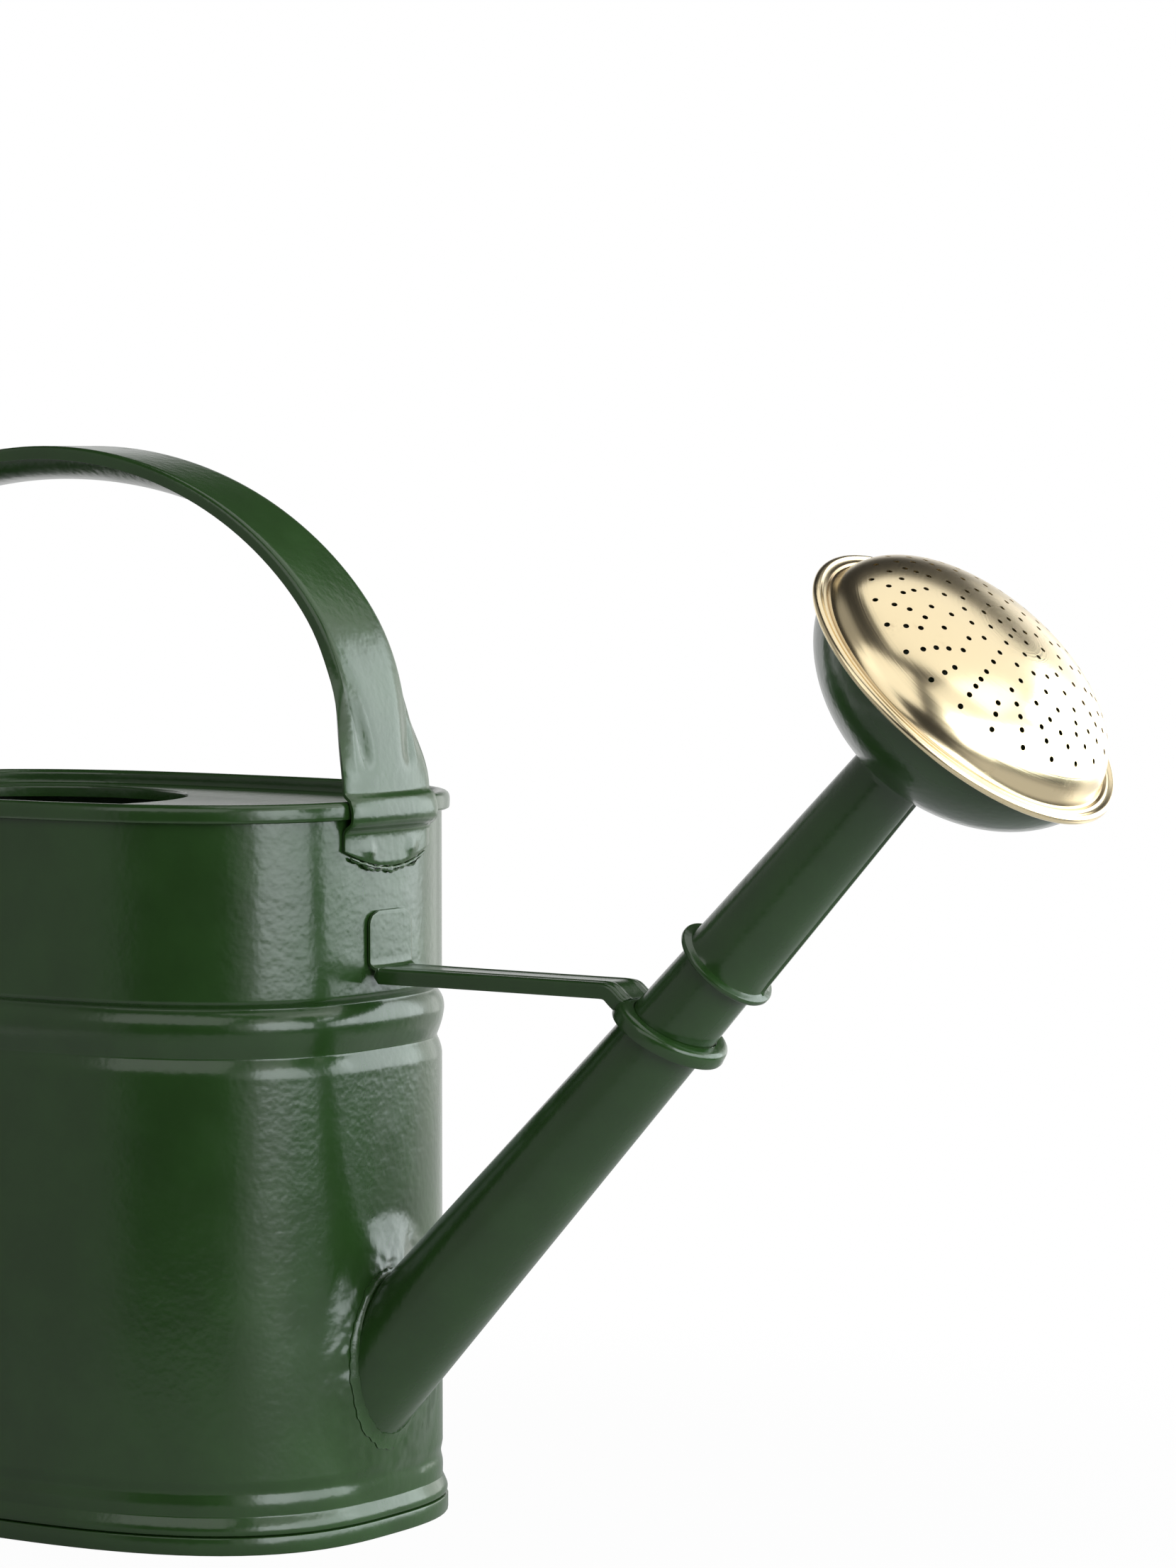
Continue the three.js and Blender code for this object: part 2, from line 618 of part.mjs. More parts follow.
function domeLine(inset, steps) {
  const list = [];
  for (let i = 0; i <= steps; i++) {
    const x = Math.sin((i / steps) * (Math.PI / 2));
    const r = i === steps ? 0 : (DOME_RADIUS - inset) * (1 - x ** 1.9) ** (1 / 2.3);
    list.push([r, BOWL_RIM + DOME_FOOT + (DOME_HEIGHT - inset - DOME_FOOT) * x]);
  }
  return list;
}
const faceBack = BOWL_RIM - GAP;
const faceBlank = onSpout([
  ...domeLine(0, 6).reverse(),
  [DOME_RADIUS + 0.8, BOWL_RIM + SHEET + GAP + SHEET],
  [FACE_RADIUS - 1.4, BOWL_RIM + SHEET + GAP + SHEET],
  [FACE_RADIUS - 0.3, BOWL_RIM + SHEET + 0.4],
  [FACE_RADIUS, BOWL_RIM],
  [FACE_RADIUS - 0.6, faceBack - SHEET],
  [FACE_RADIUS - FACE_FLANGE_IN, faceBack - SHEET],
  [FACE_RADIUS - FACE_FLANGE_IN, faceBack],
  [bowlFlange + GAP, faceBack],
  [bowlFlange + GAP, BOWL_RIM + SHEET + GAP],
  [DOME_RADIUS - SHEET, BOWL_RIM + SHEET + GAP],
  ...domeLine(SHEET, 6).slice(1),
], ROSE_FACETS);
// Rings of spray holes, each hole pierced square to the dome.
function domeHeight(r) {
  const x = (1 - (r / DOME_RADIUS) ** 2.3) ** (1 / 1.9);
  return BOWL_RIM + DOME_FOOT + (DOME_HEIGHT - DOME_FOOT) * x;
}
let drills = null;
SPRAY_RINGS.forEach(([share, count]) => {
  const radius = share * DOME_RADIUS;
  const lean = Math.atan2(domeHeight(radius) - domeHeight(radius + 0.5), 0.5);
  for (let i = 0; i < count; i++) {
    const turn = SPRAY_PHASE + (i / count) * 2 * Math.PI;
    const drill = toSolid(new THREE.CylinderGeometry(
      SPRAY_HOLE_RADIUS, SPRAY_HOLE_RADIUS, 8, SPRAY_HOLE_SIDES,
    )
      .rotateX(Math.PI / 2)
      .rotateY(lean)
      .translate(radius, 0, domeHeight(radius))
      .rotateZ(turn)
      .applyMatrix4(alongSpout));
    drills = drills ? drills.add(drill) : drill;
  }
});
add("rose_face", faceBlank.subtract(drills), BRASS);

// ---- the whole can stands centred over the origin ----
const extent = new THREE.Box3().setFromObject(group);
group.position.x = -(extent.min.x + extent.max.x) / 2;

export default group;
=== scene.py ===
"""Watering can of painted sheet steel with a brass-faced sprinkling rose."""

import math
import random

import bmesh
import bpy
from mathutils import Matrix, Vector


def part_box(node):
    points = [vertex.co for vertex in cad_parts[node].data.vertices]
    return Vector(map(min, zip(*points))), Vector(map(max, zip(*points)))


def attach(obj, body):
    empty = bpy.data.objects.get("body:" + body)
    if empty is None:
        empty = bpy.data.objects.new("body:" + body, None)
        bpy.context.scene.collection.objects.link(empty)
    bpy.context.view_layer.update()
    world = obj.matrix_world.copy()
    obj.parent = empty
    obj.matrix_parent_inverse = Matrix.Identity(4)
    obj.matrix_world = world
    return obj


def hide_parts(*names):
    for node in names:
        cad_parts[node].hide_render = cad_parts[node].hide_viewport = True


bl_info = {
    "name": "Watering Can",
    "version": (1, 0, 0),
    "blender": (4, 5, 0),
    "location": "3D View > Sidebar > Watering Can",
    "description": "Builds the sheet steel, solder and brass of an oval watering can",
    "category": "Object",
}

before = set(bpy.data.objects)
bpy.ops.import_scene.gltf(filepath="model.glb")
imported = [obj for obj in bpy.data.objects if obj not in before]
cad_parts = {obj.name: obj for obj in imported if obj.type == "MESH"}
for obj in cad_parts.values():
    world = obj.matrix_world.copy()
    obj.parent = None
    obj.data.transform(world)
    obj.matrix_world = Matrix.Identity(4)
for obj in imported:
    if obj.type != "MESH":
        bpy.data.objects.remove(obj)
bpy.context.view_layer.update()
MM = 0.001
FIT = 0.3 * MM  # room between a piece and the next one
WALL_INSIDE = -1.9 * MM  # how far the plates' turned edges stand inside the wall's outline
PLATE_SHEET = 0.75 * MM  # sheet of the base and the deck
DECK_EDGE = 2.7 * MM  # from the wall's outline to the flat of the deck
AIM_HEIGHT = 0.14  # the lamps look at the middle of the can
BACKDROP = 124  # azimuth of the white backdrop, in degrees
EYE_SHEET = 0.9  # the eye's sheet, as a share of the strap's
FLOOR_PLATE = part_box("base_plate")
BODY_X = (FLOOR_PLATE[0].x + FLOOR_PLATE[1].x) / 2


# ---- sizes and finishes that can be changed ----


def length_property(name, description, millimetres):
    return bpy.props.FloatProperty(
        name=name, description=description, default=millimetres * MM, min=0.0,
        precision=5, subtype="DISTANCE", unit="LENGTH",
    )


def angle_property(name, description, degrees):
    return bpy.props.FloatProperty(
        name=name, description=description, default=math.radians(degrees),
        subtype="ANGLE", unit="ROTATION",
    )


def factor_property(name, description, default):
    return bpy.props.FloatProperty(
        name=name, description=description, default=default, min=0.0, max=1.0, subtype="FACTOR"
    )


def colour_property(name, description, default):
    return bpy.props.FloatVectorProperty(
        name=name, description=description, default=default, size=3, min=0.0, max=1.0,
        subtype="COLOR",
    )


class CanBody(bpy.types.PropertyGroup):
    """The oval vessel with its bottom and its deck."""

    sheet: length_property("Sheet", "Thickness of the steel sheet", 0.8)
    length: length_property("Length", "Oval outline along the can", 202)
    width: length_property("Width", "Oval outline across the can", 135)
    height: length_property("Height", "From the floor to the top of the rim", 217)
    squareness: bpy.props.FloatProperty(
        name="Squareness", description="Power of the oval: 2 is an ellipse, more is squarer",
        default=2.8, min=2.0, max=6.0,
    )
    bead_below_rim: length_property("Bead Below Rim", "Rim to the middle of the bead", 65.1)
    rim_out: length_property("Rim Out", "How far the rolled rim stands out", 2.2)
    rim_depth: length_property("Rim Depth", "Height of the rolled rim", 5.4)
    deck_recess: length_property("Deck Recess", "Rim down to the deck", 4.2)
    hole_radius: length_property("Filler Hole Radius", "Inside of the filler hole's lip", 52)
    hole_ledge: length_property("Filler Hole Ledge", "Deck left behind the filler hole", 10)
    hole_lip: length_property("Filler Hole Lip", "How deep the lip is turned down", 3.6)
    base_recess: length_property("Base Recess", "Floor up to the bottom plate", 5)
    hem_height: length_property("Hem Height", "Height of the bottom hem", 5.3)
    hem_out: length_property("Hem Out", "How far the bottom hem stands out", 1.5)


class CanHandle(bpy.types.PropertyGroup):
    """The arched strap and its grip liner."""

    sheet: length_property("Sheet", "Thickness of the strap", 1.0)
    rise: length_property("Rise", "Crown above the rim", 102.4)
    drop: length_property("Drop", "The same below the rim, at the rear", 111)
    rear_out: length_property("Rear Out", "How far it swings out behind", 39.1)
    flange: length_property("Flange", "Depth of the folded edges", 4)
    fold_at_crown: length_property("Fold at Crown", "Half width of the flat at the crown", 13.8)
    fold_at_foot: length_property("Fold at Foot", "Half width of the flat at a foot", 15.9)
    tab_fold: length_property("Tab Fold", "Half width between the creases of a tab", 11)
    tab_half: length_property("Tab Half", "Half width of a tab", 21)
    spread_low: length_property("Spread Low", "Where the fold is all open", 2)
    spread_high: length_property("Spread High", "Where the fold is whole", 52)
    rim_roll: length_property("Rim Roll", "How far the strap swells over the rim", 1.0)
    rim_step: length_property("Rim Step", "How far it steps back above the rim", 2.4)
    dent: length_property("Dent", "Depth of the pinches above each foot", 1.4)
    front_drop: length_property("Front Drop", "Rim down to the end of the front tab", 19.5)
    rear_tab: length_property("Rear Tab", "Length of the rear tab", 19)
    tab_rounding: length_property("Tab Rounding", "Rise of a tab's lower corners", 5)
    liner_reach: length_property("Liner Reach", "Half length of the grip liner", 78)
    liner_bulge: length_property("Liner Bulge", "Depth of the grip liner's belly", 7.2)


class CanSpout(bpy.types.PropertyGroup):
    """The spout and the brace that holds it."""

    angle: angle_property("Angle", "Spout above the floor", 46.18)
    set_back: length_property("Set Back", "Front wall back to the axis at the floor", 50.5)
    root: length_property("Root", "Start of the tube along its axis", 40)
    end: length_property("End", "Mouth of the tube along its axis", 275)
    end_radius: length_property("End Radius", "Radius at the mouth", 10.65)
    taper: bpy.props.FloatProperty(
        name="Taper", description="Growth of the radius for each length", default=0.028
    )
    fringe: length_property("Solder Fringe", "Width of the solder round the root", 2.2)
    brace_below_rim: length_property("Brace Below Rim", "Rim down to the brace", 49)
    brace_tab: length_property("Brace Tab", "Height of the tab above the brace", 16.5)
    brace_tab_half: length_property("Brace Tab Half", "Half width of the tab", 10.4)
    brace_half: length_property("Brace Half", "Half width of the brace", 8.6)
    brace_flange: length_property("Brace Flange", "Depth of the brace's edges", 4.6)
    eye_drop: length_property("Eye Drop", "Brace down to the middle of the eye", 11.2)
    eye_tilt: angle_property("Eye Tilt", "Eye against a square cut of the spout", 15.2)
    eye_face: length_property("Eye Face", "Width of the eye's ring", 3.9)
    eye_skirt: length_property("Eye Skirt", "Depth of the eye's edge", 6.6)


class CanRose(bpy.types.PropertyGroup):
    """The pull-off rose: socket, bowl and perforated face."""

    socket_start: length_property("Socket Start", "Collar's place along the spout", 241)
    socket_end: length_property("Socket End", "Where the socket meets the bowl", 322)
    clearance: length_property("Clearance", "Air between the socket and the spout", 0.32)
    collar: length_property("Collar", "How far the collar stands out", 3.4)
    bowl_radius: length_property("Bowl Radius", "Radius of the bowl's edge", 46.6)
    bowl_depth: length_property("Bowl Depth", "Depth of the bowl", 31.4)
    rim: length_property("Rim", "Place of the rim along the spout", 351.6)
    face_radius: length_property("Face Radius", "Radius of the brass flange", 51)
    dome_radius: length_property("Dome Radius", "Radius of the dome", 45.6)
    dome_height: length_property("Dome Height", "Crown of the dome above the rim", 22.5)
    spray_hole: length_property("Spray Hole", "Radius of each spray hole", 0.82)


class CanFinish(bpy.types.PropertyGroup):
    """Paint and brass."""

    paint: colour_property("Paint", "Powder coat where it is thick", (0.015, 0.042, 0.009))
    paint_thin: colour_property(
        "Thin Paint", "Powder coat where it is thin", (0.018, 0.051, 0.011)
    )
    paint_roughness: factor_property("Paint Roughness", "Blur of the powder coat's gloss", 0.2)
    paint_ior: bpy.props.FloatProperty(
        name="Paint IOR", description="Refraction of the clear film", default=1.55, min=1.0
    )
    brass: colour_property("Brass", "Clean spun brass", (0.86, 0.72, 0.46))
    # Colour of the brass's real stains, and also of the painted shade in the hollow at the dome's
    # edge.
    tarnish_and_shade: colour_property("Tarnish", "Brass that has darkened", (0.38, 0.24, 0.09))
    brass_roughness: factor_property("Brass Roughness", "Blur of the spun brass", 0.16)


class CanStage(bpy.types.PropertyGroup):
    """Floor, lamps and camera."""

    floor: colour_property("Floor", "Pale floor under the can", (0.46, 0.46, 0.46))
    floor_radius: length_property("Floor Radius", "Reach of the round floor", 440)
    window: bpy.props.FloatProperty(
        name="Windows", description="Power of the long lamp on the right", default=22.0,
        unit="POWER",
    )
    overhead: bpy.props.FloatProperty(
        name="Overhead", description="Power of the lamp above", default=9.0, unit="POWER"
    )
    lens: bpy.props.FloatProperty(
        name="Lens", description="Focal length", default=122.6, unit="CAMERA"
    )
    yaw: angle_property("Yaw", "Camera's heading", -33.74)
    pitch: angle_property("Pitch", "How far the camera looks down", 3.563)


# ---- shop helpers ----


def start(add, **settings):
    """Add a primitive on its own and open it for editing."""
    bpy.ops.object.select_all(action="DESELECT")
    add(**settings)
    bpy.ops.object.mode_set(mode="EDIT")
    bpy.ops.mesh.select_all(action="SELECT")
    return bpy.context.object


def choose(*pieces):
    """Select pieces on their own, the first of them active."""
    bpy.ops.object.select_all(action="DESELECT")
    for piece in pieces:
        piece.select_set(True)
    bpy.context.view_layer.objects.active = pieces[0]


def pick(obj, test):
    """Select the vertices, of the mesh that is open, whose places pass a test."""
    bpy.ops.mesh.select_mode(type="VERT")
    bpy.ops.mesh.select_all(action="DESELECT")
    mesh = bmesh.from_edit_mesh(obj.data)
    for vertex in mesh.verts:
        vertex.select_set(test(vertex.co))
    mesh.select_flush(True)
    bmesh.update_edit_mesh(obj.data)


def face_outwards(obj, towards):
    """Merge doubles and turn the sheet's faces so that its furthest side looks that way."""
    towards = Vector(towards)
    bpy.ops.mesh.select_all(action="SELECT")
    bpy.ops.mesh.remove_doubles(threshold=1e-6)
    bpy.ops.mesh.normals_make_consistent(inside=False)
    mesh = bmesh.from_edit_mesh(obj.data)
    mesh.normal_update()
    furthest = max(
        (face for face in mesh.faces if abs(face.normal.dot(towards)) > 0.5),
        key=lambda face: face.calc_center_median().dot(towards),
    )
    if furthest.normal.dot(towards) < 0:
        bpy.ops.mesh.flip_normals()
    bpy.ops.object.mode_set(mode="OBJECT")


def apply_modifier(obj, kind, **settings):
    """Give a piece a modifier, set it and apply it."""
    modifier = obj.modifiers.new(kind.title(), kind)
    for name, value in settings.items():
        setattr(modifier, name, value)
    choose(obj)
    bpy.ops.object.modifier_apply(modifier=modifier.name)


def thicken(obj, sheet, edge=0.0002):
    """Give a sheet its wall, inwards from its outer face, and ease its cut edges."""
    apply_modifier(obj, "SOLIDIFY", thickness=sheet, offset=-1, use_even_offset=True)
    if edge:
        apply_modifier(
            obj, "BEVEL", width=edge, segments=2, limit_method="ANGLE",
            angle_limit=math.radians(70), harden_normals=False,
        )


def cut(obj, tool):
    """Take a tool's shape out of a piece, and the tool off the bench."""
    apply_modifier(obj, "BOOLEAN", operation="DIFFERENCE", solver="EXACT", object=tool)
    bpy.data.objects.remove(tool)


def settle(obj, placement=None):
    """Put a piece in its place and leave its object at the origin."""
    if placement is not None:
        obj.matrix_world = placement @ obj.matrix_world
    choose(obj)
    bpy.ops.object.transform_apply(location=True, rotation=True, scale=True)


def hand_over(obj, node, body="can", finish="powder_coat", smooth=35):
    """Name a finished piece, paint it, and let it stand for its node in the frame."""
    settle(obj)
    bpy.ops.object.shade_smooth_by_angle(angle=math.radians(smooth))
    obj.name = f"{node}_sheet"
    obj.data.name = obj.name
    obj.data.materials.clear()
    obj.data.materials.append(scene_paint(finish))
    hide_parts(node)
    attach(obj, body)


def smooth_line(points, steps):
    """A soft curve through points, as a hand would draw it along a spline."""
    line = []
    padded = [points[0], *points, points[-1]]
    for a, b, c, d in zip(padded, padded[1:], padded[2:], padded[3:]):
        for i in range(steps):
            t = i / steps
            line.append(tuple(
                0.5 * (2 * q + (r - p) * t + (2 * p - 5 * q + 4 * r - s) * t * t
                       + (3 * q - p - 3 * r + s) * t ** 3)
                for p, q, r, s in zip(a, b, c, d)
            ))
    return [*line, points[-1]]


class Sheet:
    """A sheet drawn from loop to loop, each one scaled about the axis that it stands on."""

    def __init__(self, obj, half, z, axis=(0, 0)):
        self.obj, self.half, self.z, self.axis = obj, half, z, axis

    def draw_to(self, half, z):
        """Draw the open edge on to a loop of that half length and half width."""
        bpy.ops.mesh.extrude_region_move(TRANSFORM_OT_translate={"value": (0, 0, z - self.z)})
        bpy.ops.transform.resize(
            value=(half[0] / self.half[0], half[1] / self.half[1], 1),
            center_override=(*self.axis, z),
        )
        self.half, self.z = half, z


class OvalSheet(Sheet):
    """A sheet whose loops follow the body's oval outline."""

    def __init__(self, body, out, z, corners=24):
        self.body = body
        obj = start(bpy.ops.mesh.primitive_plane_add, size=2)
        bpy.ops.mesh.bevel(
            offset=1.0, segments=corners, profile=2 ** (-2 / body.squareness),
            affect="VERTICES", clamp_overlap=True,
        )
        bpy.ops.mesh.remove_doubles(threshold=1e-5)
        bpy.ops.mesh.delete(type="ONLY_FACE")
        bpy.ops.mesh.select_all(action="SELECT")
        half = self.outline(out)
        bpy.ops.transform.resize(value=(*half, 1), center_override=(0, 0, 0))
        bpy.ops.transform.translate(value=(BODY_X, 0, z))
        super().__init__(obj, half, z, (BODY_X, 0))

    def outline(self, out):
        """Half the length and half the width of the oval, that far outside the wall."""
        return self.body.length / 2 + out, self.body.width / 2 + out

    def pull(self, out, z):
        self.draw_to(self.outline(out), z)


class RoundSheet(Sheet):
    """A sheet whose loops are rings round its own axis."""

    def __init__(self, radius, along, sides):
        obj = start(
            bpy.ops.mesh.primitive_circle_add,
            vertices=sides, radius=radius, location=(0, 0, along),
        )
        bpy.ops.object.mode_set(mode="OBJECT")
        settle(obj)
        bpy.ops.object.mode_set(mode="EDIT")
        bpy.ops.mesh.select_all(action="SELECT")
        super().__init__(obj, (radius, radius), along)

    def pull(self, radius, along):
        self.draw_to((radius, radius), along)


def bent_sheet(columns, rows, place):
    """A flat sheet, ruled in columns and rows, bent so that each crossing lies in its place."""
    obj = start(
        bpy.ops.mesh.primitive_grid_add, x_subdivisions=columns, y_subdivisions=rows, size=1
    )
    bpy.ops.object.mode_set(mode="OBJECT")
    for vertex in obj.data.vertices:
        vertex.co = place(vertex.co.x + 0.5, vertex.co.y + 0.5)
    bpy.ops.object.mode_set(mode="EDIT")
    return obj


# ---- places that the pieces share ----


def wall_x(body, y):
    """How far forward the front wall stands, at a place across it."""
    across = min(abs(y) / (body.width / 2), 1)
    return (body.length / 2) * (1 - across ** body.squareness) ** (1 / body.squareness)


def along_spout(body, spout):
    """From a piece drawn up the Z axis to its place on the spout's axis."""
    foot = Vector((BODY_X + body.length / 2 - spout.set_back, 0, 0))
    return Matrix.Translation(foot) @ Matrix.Rotation(math.pi / 2 - spout.angle, 4, "Y")


def spout_radius(spout, along):
    return spout.end_radius + (spout.end - along) * spout.taper


def socket_radius(spout, rose, along):
    return spout_radius(spout, along) + rose.clearance


def step(value, low, high):
    t = min(max((value - low) / (high - low), 0), 1)
    return t * t * (3 - 2 * t)


def mix(a, b, t):
    return a + (b - a) * t


# ---- shader maths ----


class Wire:
    """A shader socket that plain arithmetic can be done with."""

    def __init__(self, paint, socket):
        self.paint = paint
        self.socket = socket

    def maths(self, operation, *values):
        return self.paint.node(
            "ShaderNodeMath", {"operation": operation}, dict(enumerate(values))
        )

    def __add__(self, other):
        return self.maths("ADD", self, other)

    def __sub__(self, other):
        return self.maths("SUBTRACT", self, other)

    def __rsub__(self, other):
        return self.maths("SUBTRACT", other, self)

    def __mul__(self, other):
        return self.maths("MULTIPLY", self, other)

    def __abs__(self):
        return self.maths("ABSOLUTE", self)

    __radd__ = __add__
    __rmul__ = __mul__

    def ramp(self, low, high):
        """0 below the first value, 1 above the second, soft between."""
        return self.paint.node(
            "ShaderNodeMapRange",
            {"interpolation_type": "SMOOTHSTEP"},
            {"Value": self, "From Min": low, "From Max": high},
        )


class Paint:
    """Nodes written as expressions, in a new material or in a tree that is there."""

    def __init__(self, name, tree=None):
        if tree is None:
            self.material = bpy.data.materials.new(name)
            self.material.use_nodes = True
            tree = self.material.node_tree
            self.shader = tree.nodes["Principled BSDF"]
        self.tree = tree

    def node(self, kind, settings=None, inputs=None, output=0):
        made = self.tree.nodes.new(kind)
        for name, value in (settings or {}).items():
            setattr(made, name, value)
        for name, value in (inputs or {}).items():
            self.feed(made.inputs[name], value)
        return Wire(self, made.outputs[output])

    def feed(self, socket, value):
        if isinstance(value, Wire):
            self.tree.links.new(value.socket, socket)
        else:
            socket.default_value = value

    def set(self, **inputs):
        """Feed the shader's sockets, named as they are there but in small letters."""
        sockets = {socket.name.lower().replace(" ", "_"): socket for socket in self.shader.inputs}
        for name, value in inputs.items():
            self.feed(sockets[name], value)

    def place(self):
        return self.node("ShaderNodeTexCoord", output="Object")

    def vector(self, operation, *values, output=0):
        return self.node(
            "ShaderNodeVectorMath", {"operation": operation}, dict(enumerate(values)), output
        )

    def about(self, placement):
        """A place as the piece on that axis was drawn, and its distance from the axis."""
        drawn = self.node(
            "ShaderNodeMapping",
            {"vector_type": "TEXTURE"},
            {
                "Vector": self.place(),
                "Location": placement.translation,
                "Rotation": placement.to_euler(),
            },
        )
        return drawn, self.length(self.vector("MULTIPLY", drawn, (1, 1, 0)))

    def length(self, vector):
        return self.vector("LENGTH", vector, output="Value")

    def noise(self, place, scale, detail=2.0, roughness=0.5):
        return self.node(
            "ShaderNodeTexNoise",
            inputs={
                "Vector": place, "Scale": scale, "Detail": detail, "Roughness": roughness,
            },
        )

    def rings(self, radius, scale, detail, roughness=0.5):
        """Noise that only changes from ring to ring, as a spinning tool leaves it."""
        return self.node(
            "ShaderNodeTexNoise",
            {"noise_dimensions": "1D"},
            {"W": radius, "Scale": scale, "Detail": detail, "Roughness": roughness},
        )

    def colours(self, factor, first, second):
        return self.node(
            "ShaderNodeMix",
            {"data_type": "RGBA"},
            {0: factor, 6: rgba(first), 7: rgba(second)},
            output=2,
        )

    def bump(self, height, distance, strength=1.0, under=None):
        inputs = {"Height": height, "Distance": distance, "Strength": strength}
        if under is not None:
            inputs["Normal"] = under
        return self.node("ShaderNodeBump", inputs=inputs)


def rgba(colour):
    return colour if isinstance(colour, Wire) else (*colour, 1.0)


# ---- paint and brass ----


def swelling(paint, place, around):
    """Sheet drawn and buckled by the heat about the spout's root, fading with distance."""
    away = paint.about(around)[1]
    uneven = paint.noise(place, 75, detail=2)
    return away.ramp(0.031, 0.016) * (uneven * 1.3 + 0.35)


def powder_coat(finish, name, around=None):
    """Glossy dark green powder coat: a soft orange peel over sheet that isn't quite flat."""
    paint = Paint(name)
    place = paint.place()
    film = paint.noise(place, 55, detail=3)
    peel = paint.noise(place, 420, detail=1)
    pits = paint.noise(place, 130, detail=2)
    waves = paint.noise(place, 26, detail=1)
    colour = paint.colours(film.ramp(0.3, 0.75), finish.paint, finish.paint_thin)
    smudge = paint.noise(place, 70, detail=4, roughness=0.65).ramp(0.45, 0.75)
    flat = paint.bump(waves, 0.0001, 0.35)
    peeled = paint.bump(peel + pits * 0.9, 0.00014, 0.5, under=flat)
    if around is not None:
        peeled = paint.bump(swelling(paint, place, around), 0.003, 0.9, under=peeled)
    paint.set(
        base_color=colour,
        roughness=smudge * 0.05 + finish.paint_roughness,
        ior=finish.paint_ior,
        normal=peeled,
    )
    return paint.material


def solder_coat(finish, name):
    """The same paint over rough solder."""
    paint = Paint(name)
    place = paint.place()
    lumps = paint.noise(place, 240, detail=3, roughness=0.6)
    film = paint.noise(place, 90)
    rough = paint.bump(lumps, 0.0005, 0.5)
    paint.set(
        base_color=paint.colours(film.ramp(0.3, 0.7), finish.paint, finish.paint_thin),
        roughness=lumps * 0.12 + finish.paint_roughness,
        ior=finish.paint_ior,
        normal=rough,
    )
    return paint.material


def spun_brass(finish, spout_place, rose):
    """Spun brass: fine rings about the rose's axis, real stains and clouds, and painted shade,
    with some real darkening, in the hollow at the dome's edge.
    """
    paint = Paint("spun_brass")
    turned, radius = paint.about(spout_place)
    rings = paint.rings(radius, 1500.0, 3.0, 0.7)
    broad = paint.rings(radius, 260.0, 1.0)
    stains = paint.noise(turned, 75, detail=5, roughness=0.7).ramp(0.58, 0.78)
    clouds = paint.noise(turned, 30, detail=3).ramp(0.3, 0.75)
    # Painted shade in the hollow between the dome and its flange, partly real darkening of the
    # brass.
    groove_shade = abs(radius - (rose.dome_radius + 0.0012)).ramp(0.0016, 0.0002)
    # Real stains and clouds, plus the painted shade of that hollow, mixed towards the darker
    # colour.
    darkened = stains * 0.35 + clouds * 0.16 + groove_shade * 0.55
    paint.set(
        base_color=paint.colours(darkened.ramp(0.0, 1.0), finish.brass, finish.tarnish_and_shade),
        metallic=1.0,
        roughness=rings * 0.06 + stains * 0.12 + clouds * 0.05 + finish.brass_roughness,
        normal=paint.bump(rings + broad * 1.4, 0.00005, 0.35),
    )
    return paint.material


# ---- pieces of the can ----


class BuildBody(bpy.types.Operator):
    """Draw the oval wall up from the bottom hem to the rim, with its swaged beads"""

    bl_idname = "watering_can.body"
    bl_label = "Body Wall"

    def execute(self, context):
        scene = context.scene
        body, spout = scene.can_body, scene.can_spout
        low = body.sheet + FIT
        high = body.height - low
        bead = body.height - body.bead_below_rim
        flare = [
            (0, 4.2), (0, 5.2), (0.4, 5.5), (1.15, 5.8), (1.35, 6.6), (1.25, 7.8), (0.75, 9.2),
            (0.08, 10.7), (0, 11.2), (0.05, 13), (0, 14.8), (-0.3, 16.4), (-0.5, 17.7),
            (-0.3, 19.2), (0, 20.8), (0, 22), (0, 24),
        ]
        swage = [
            (0, -18), (0, -15), (0, -13.6), (-0.25, -11.8), (-0.9, -9.7), (-1.35, -8.6),
            (-1.3, -7.9), (-0.7, -6.2), (0, -3.9), (0.5, -1.2), (0.6, 0.6), (0.3, 2.6),
            (-0.6, 4.6), (-1.45, 5.7), (-1.5, 6.2), (-0.8, 7.1), (-0.1, 8.0), (0, 8.8),
            (0, 10), (0, 14),
        ]
        line = smooth_line([(out * MM, z * MM) for out, z in flare], 2)
        line += [(0, mix(24 * MM, bead - 18 * MM, i / 14)) for i in range(1, 14)]
        line += smooth_line([(out * MM, bead + z * MM) for out, z in swage], 2)
        line += [(0, mix(bead + 14 * MM, high, i / 6)) for i in range(1, 6)]
        line.append((0, high))
        wall = OvalSheet(body, 0, low)
        for out, z in line:
            wall.pull(out, z)
        face_outwards(wall.obj, (1, 0, 0))
        thicken(wall.obj, body.sheet, edge=0)
        place = along_spout(body, spout)
        bpy.ops.object.select_all(action="DESELECT")
        bpy.ops.mesh.primitive_cone_add(
            vertices=96,
            radius1=spout_radius(spout, 40 * MM) - body.sheet,
            radius2=spout_radius(spout, 130 * MM) - body.sheet,
            depth=90 * MM,
            location=(0, 0, 85 * MM),
        )
        bore = context.object
        settle(bore, place)
        cut(wall.obj, bore)
        hand_over(wall.obj, "body_shell", finish="wall_coat", smooth=60)
        return {"FINISHED"}


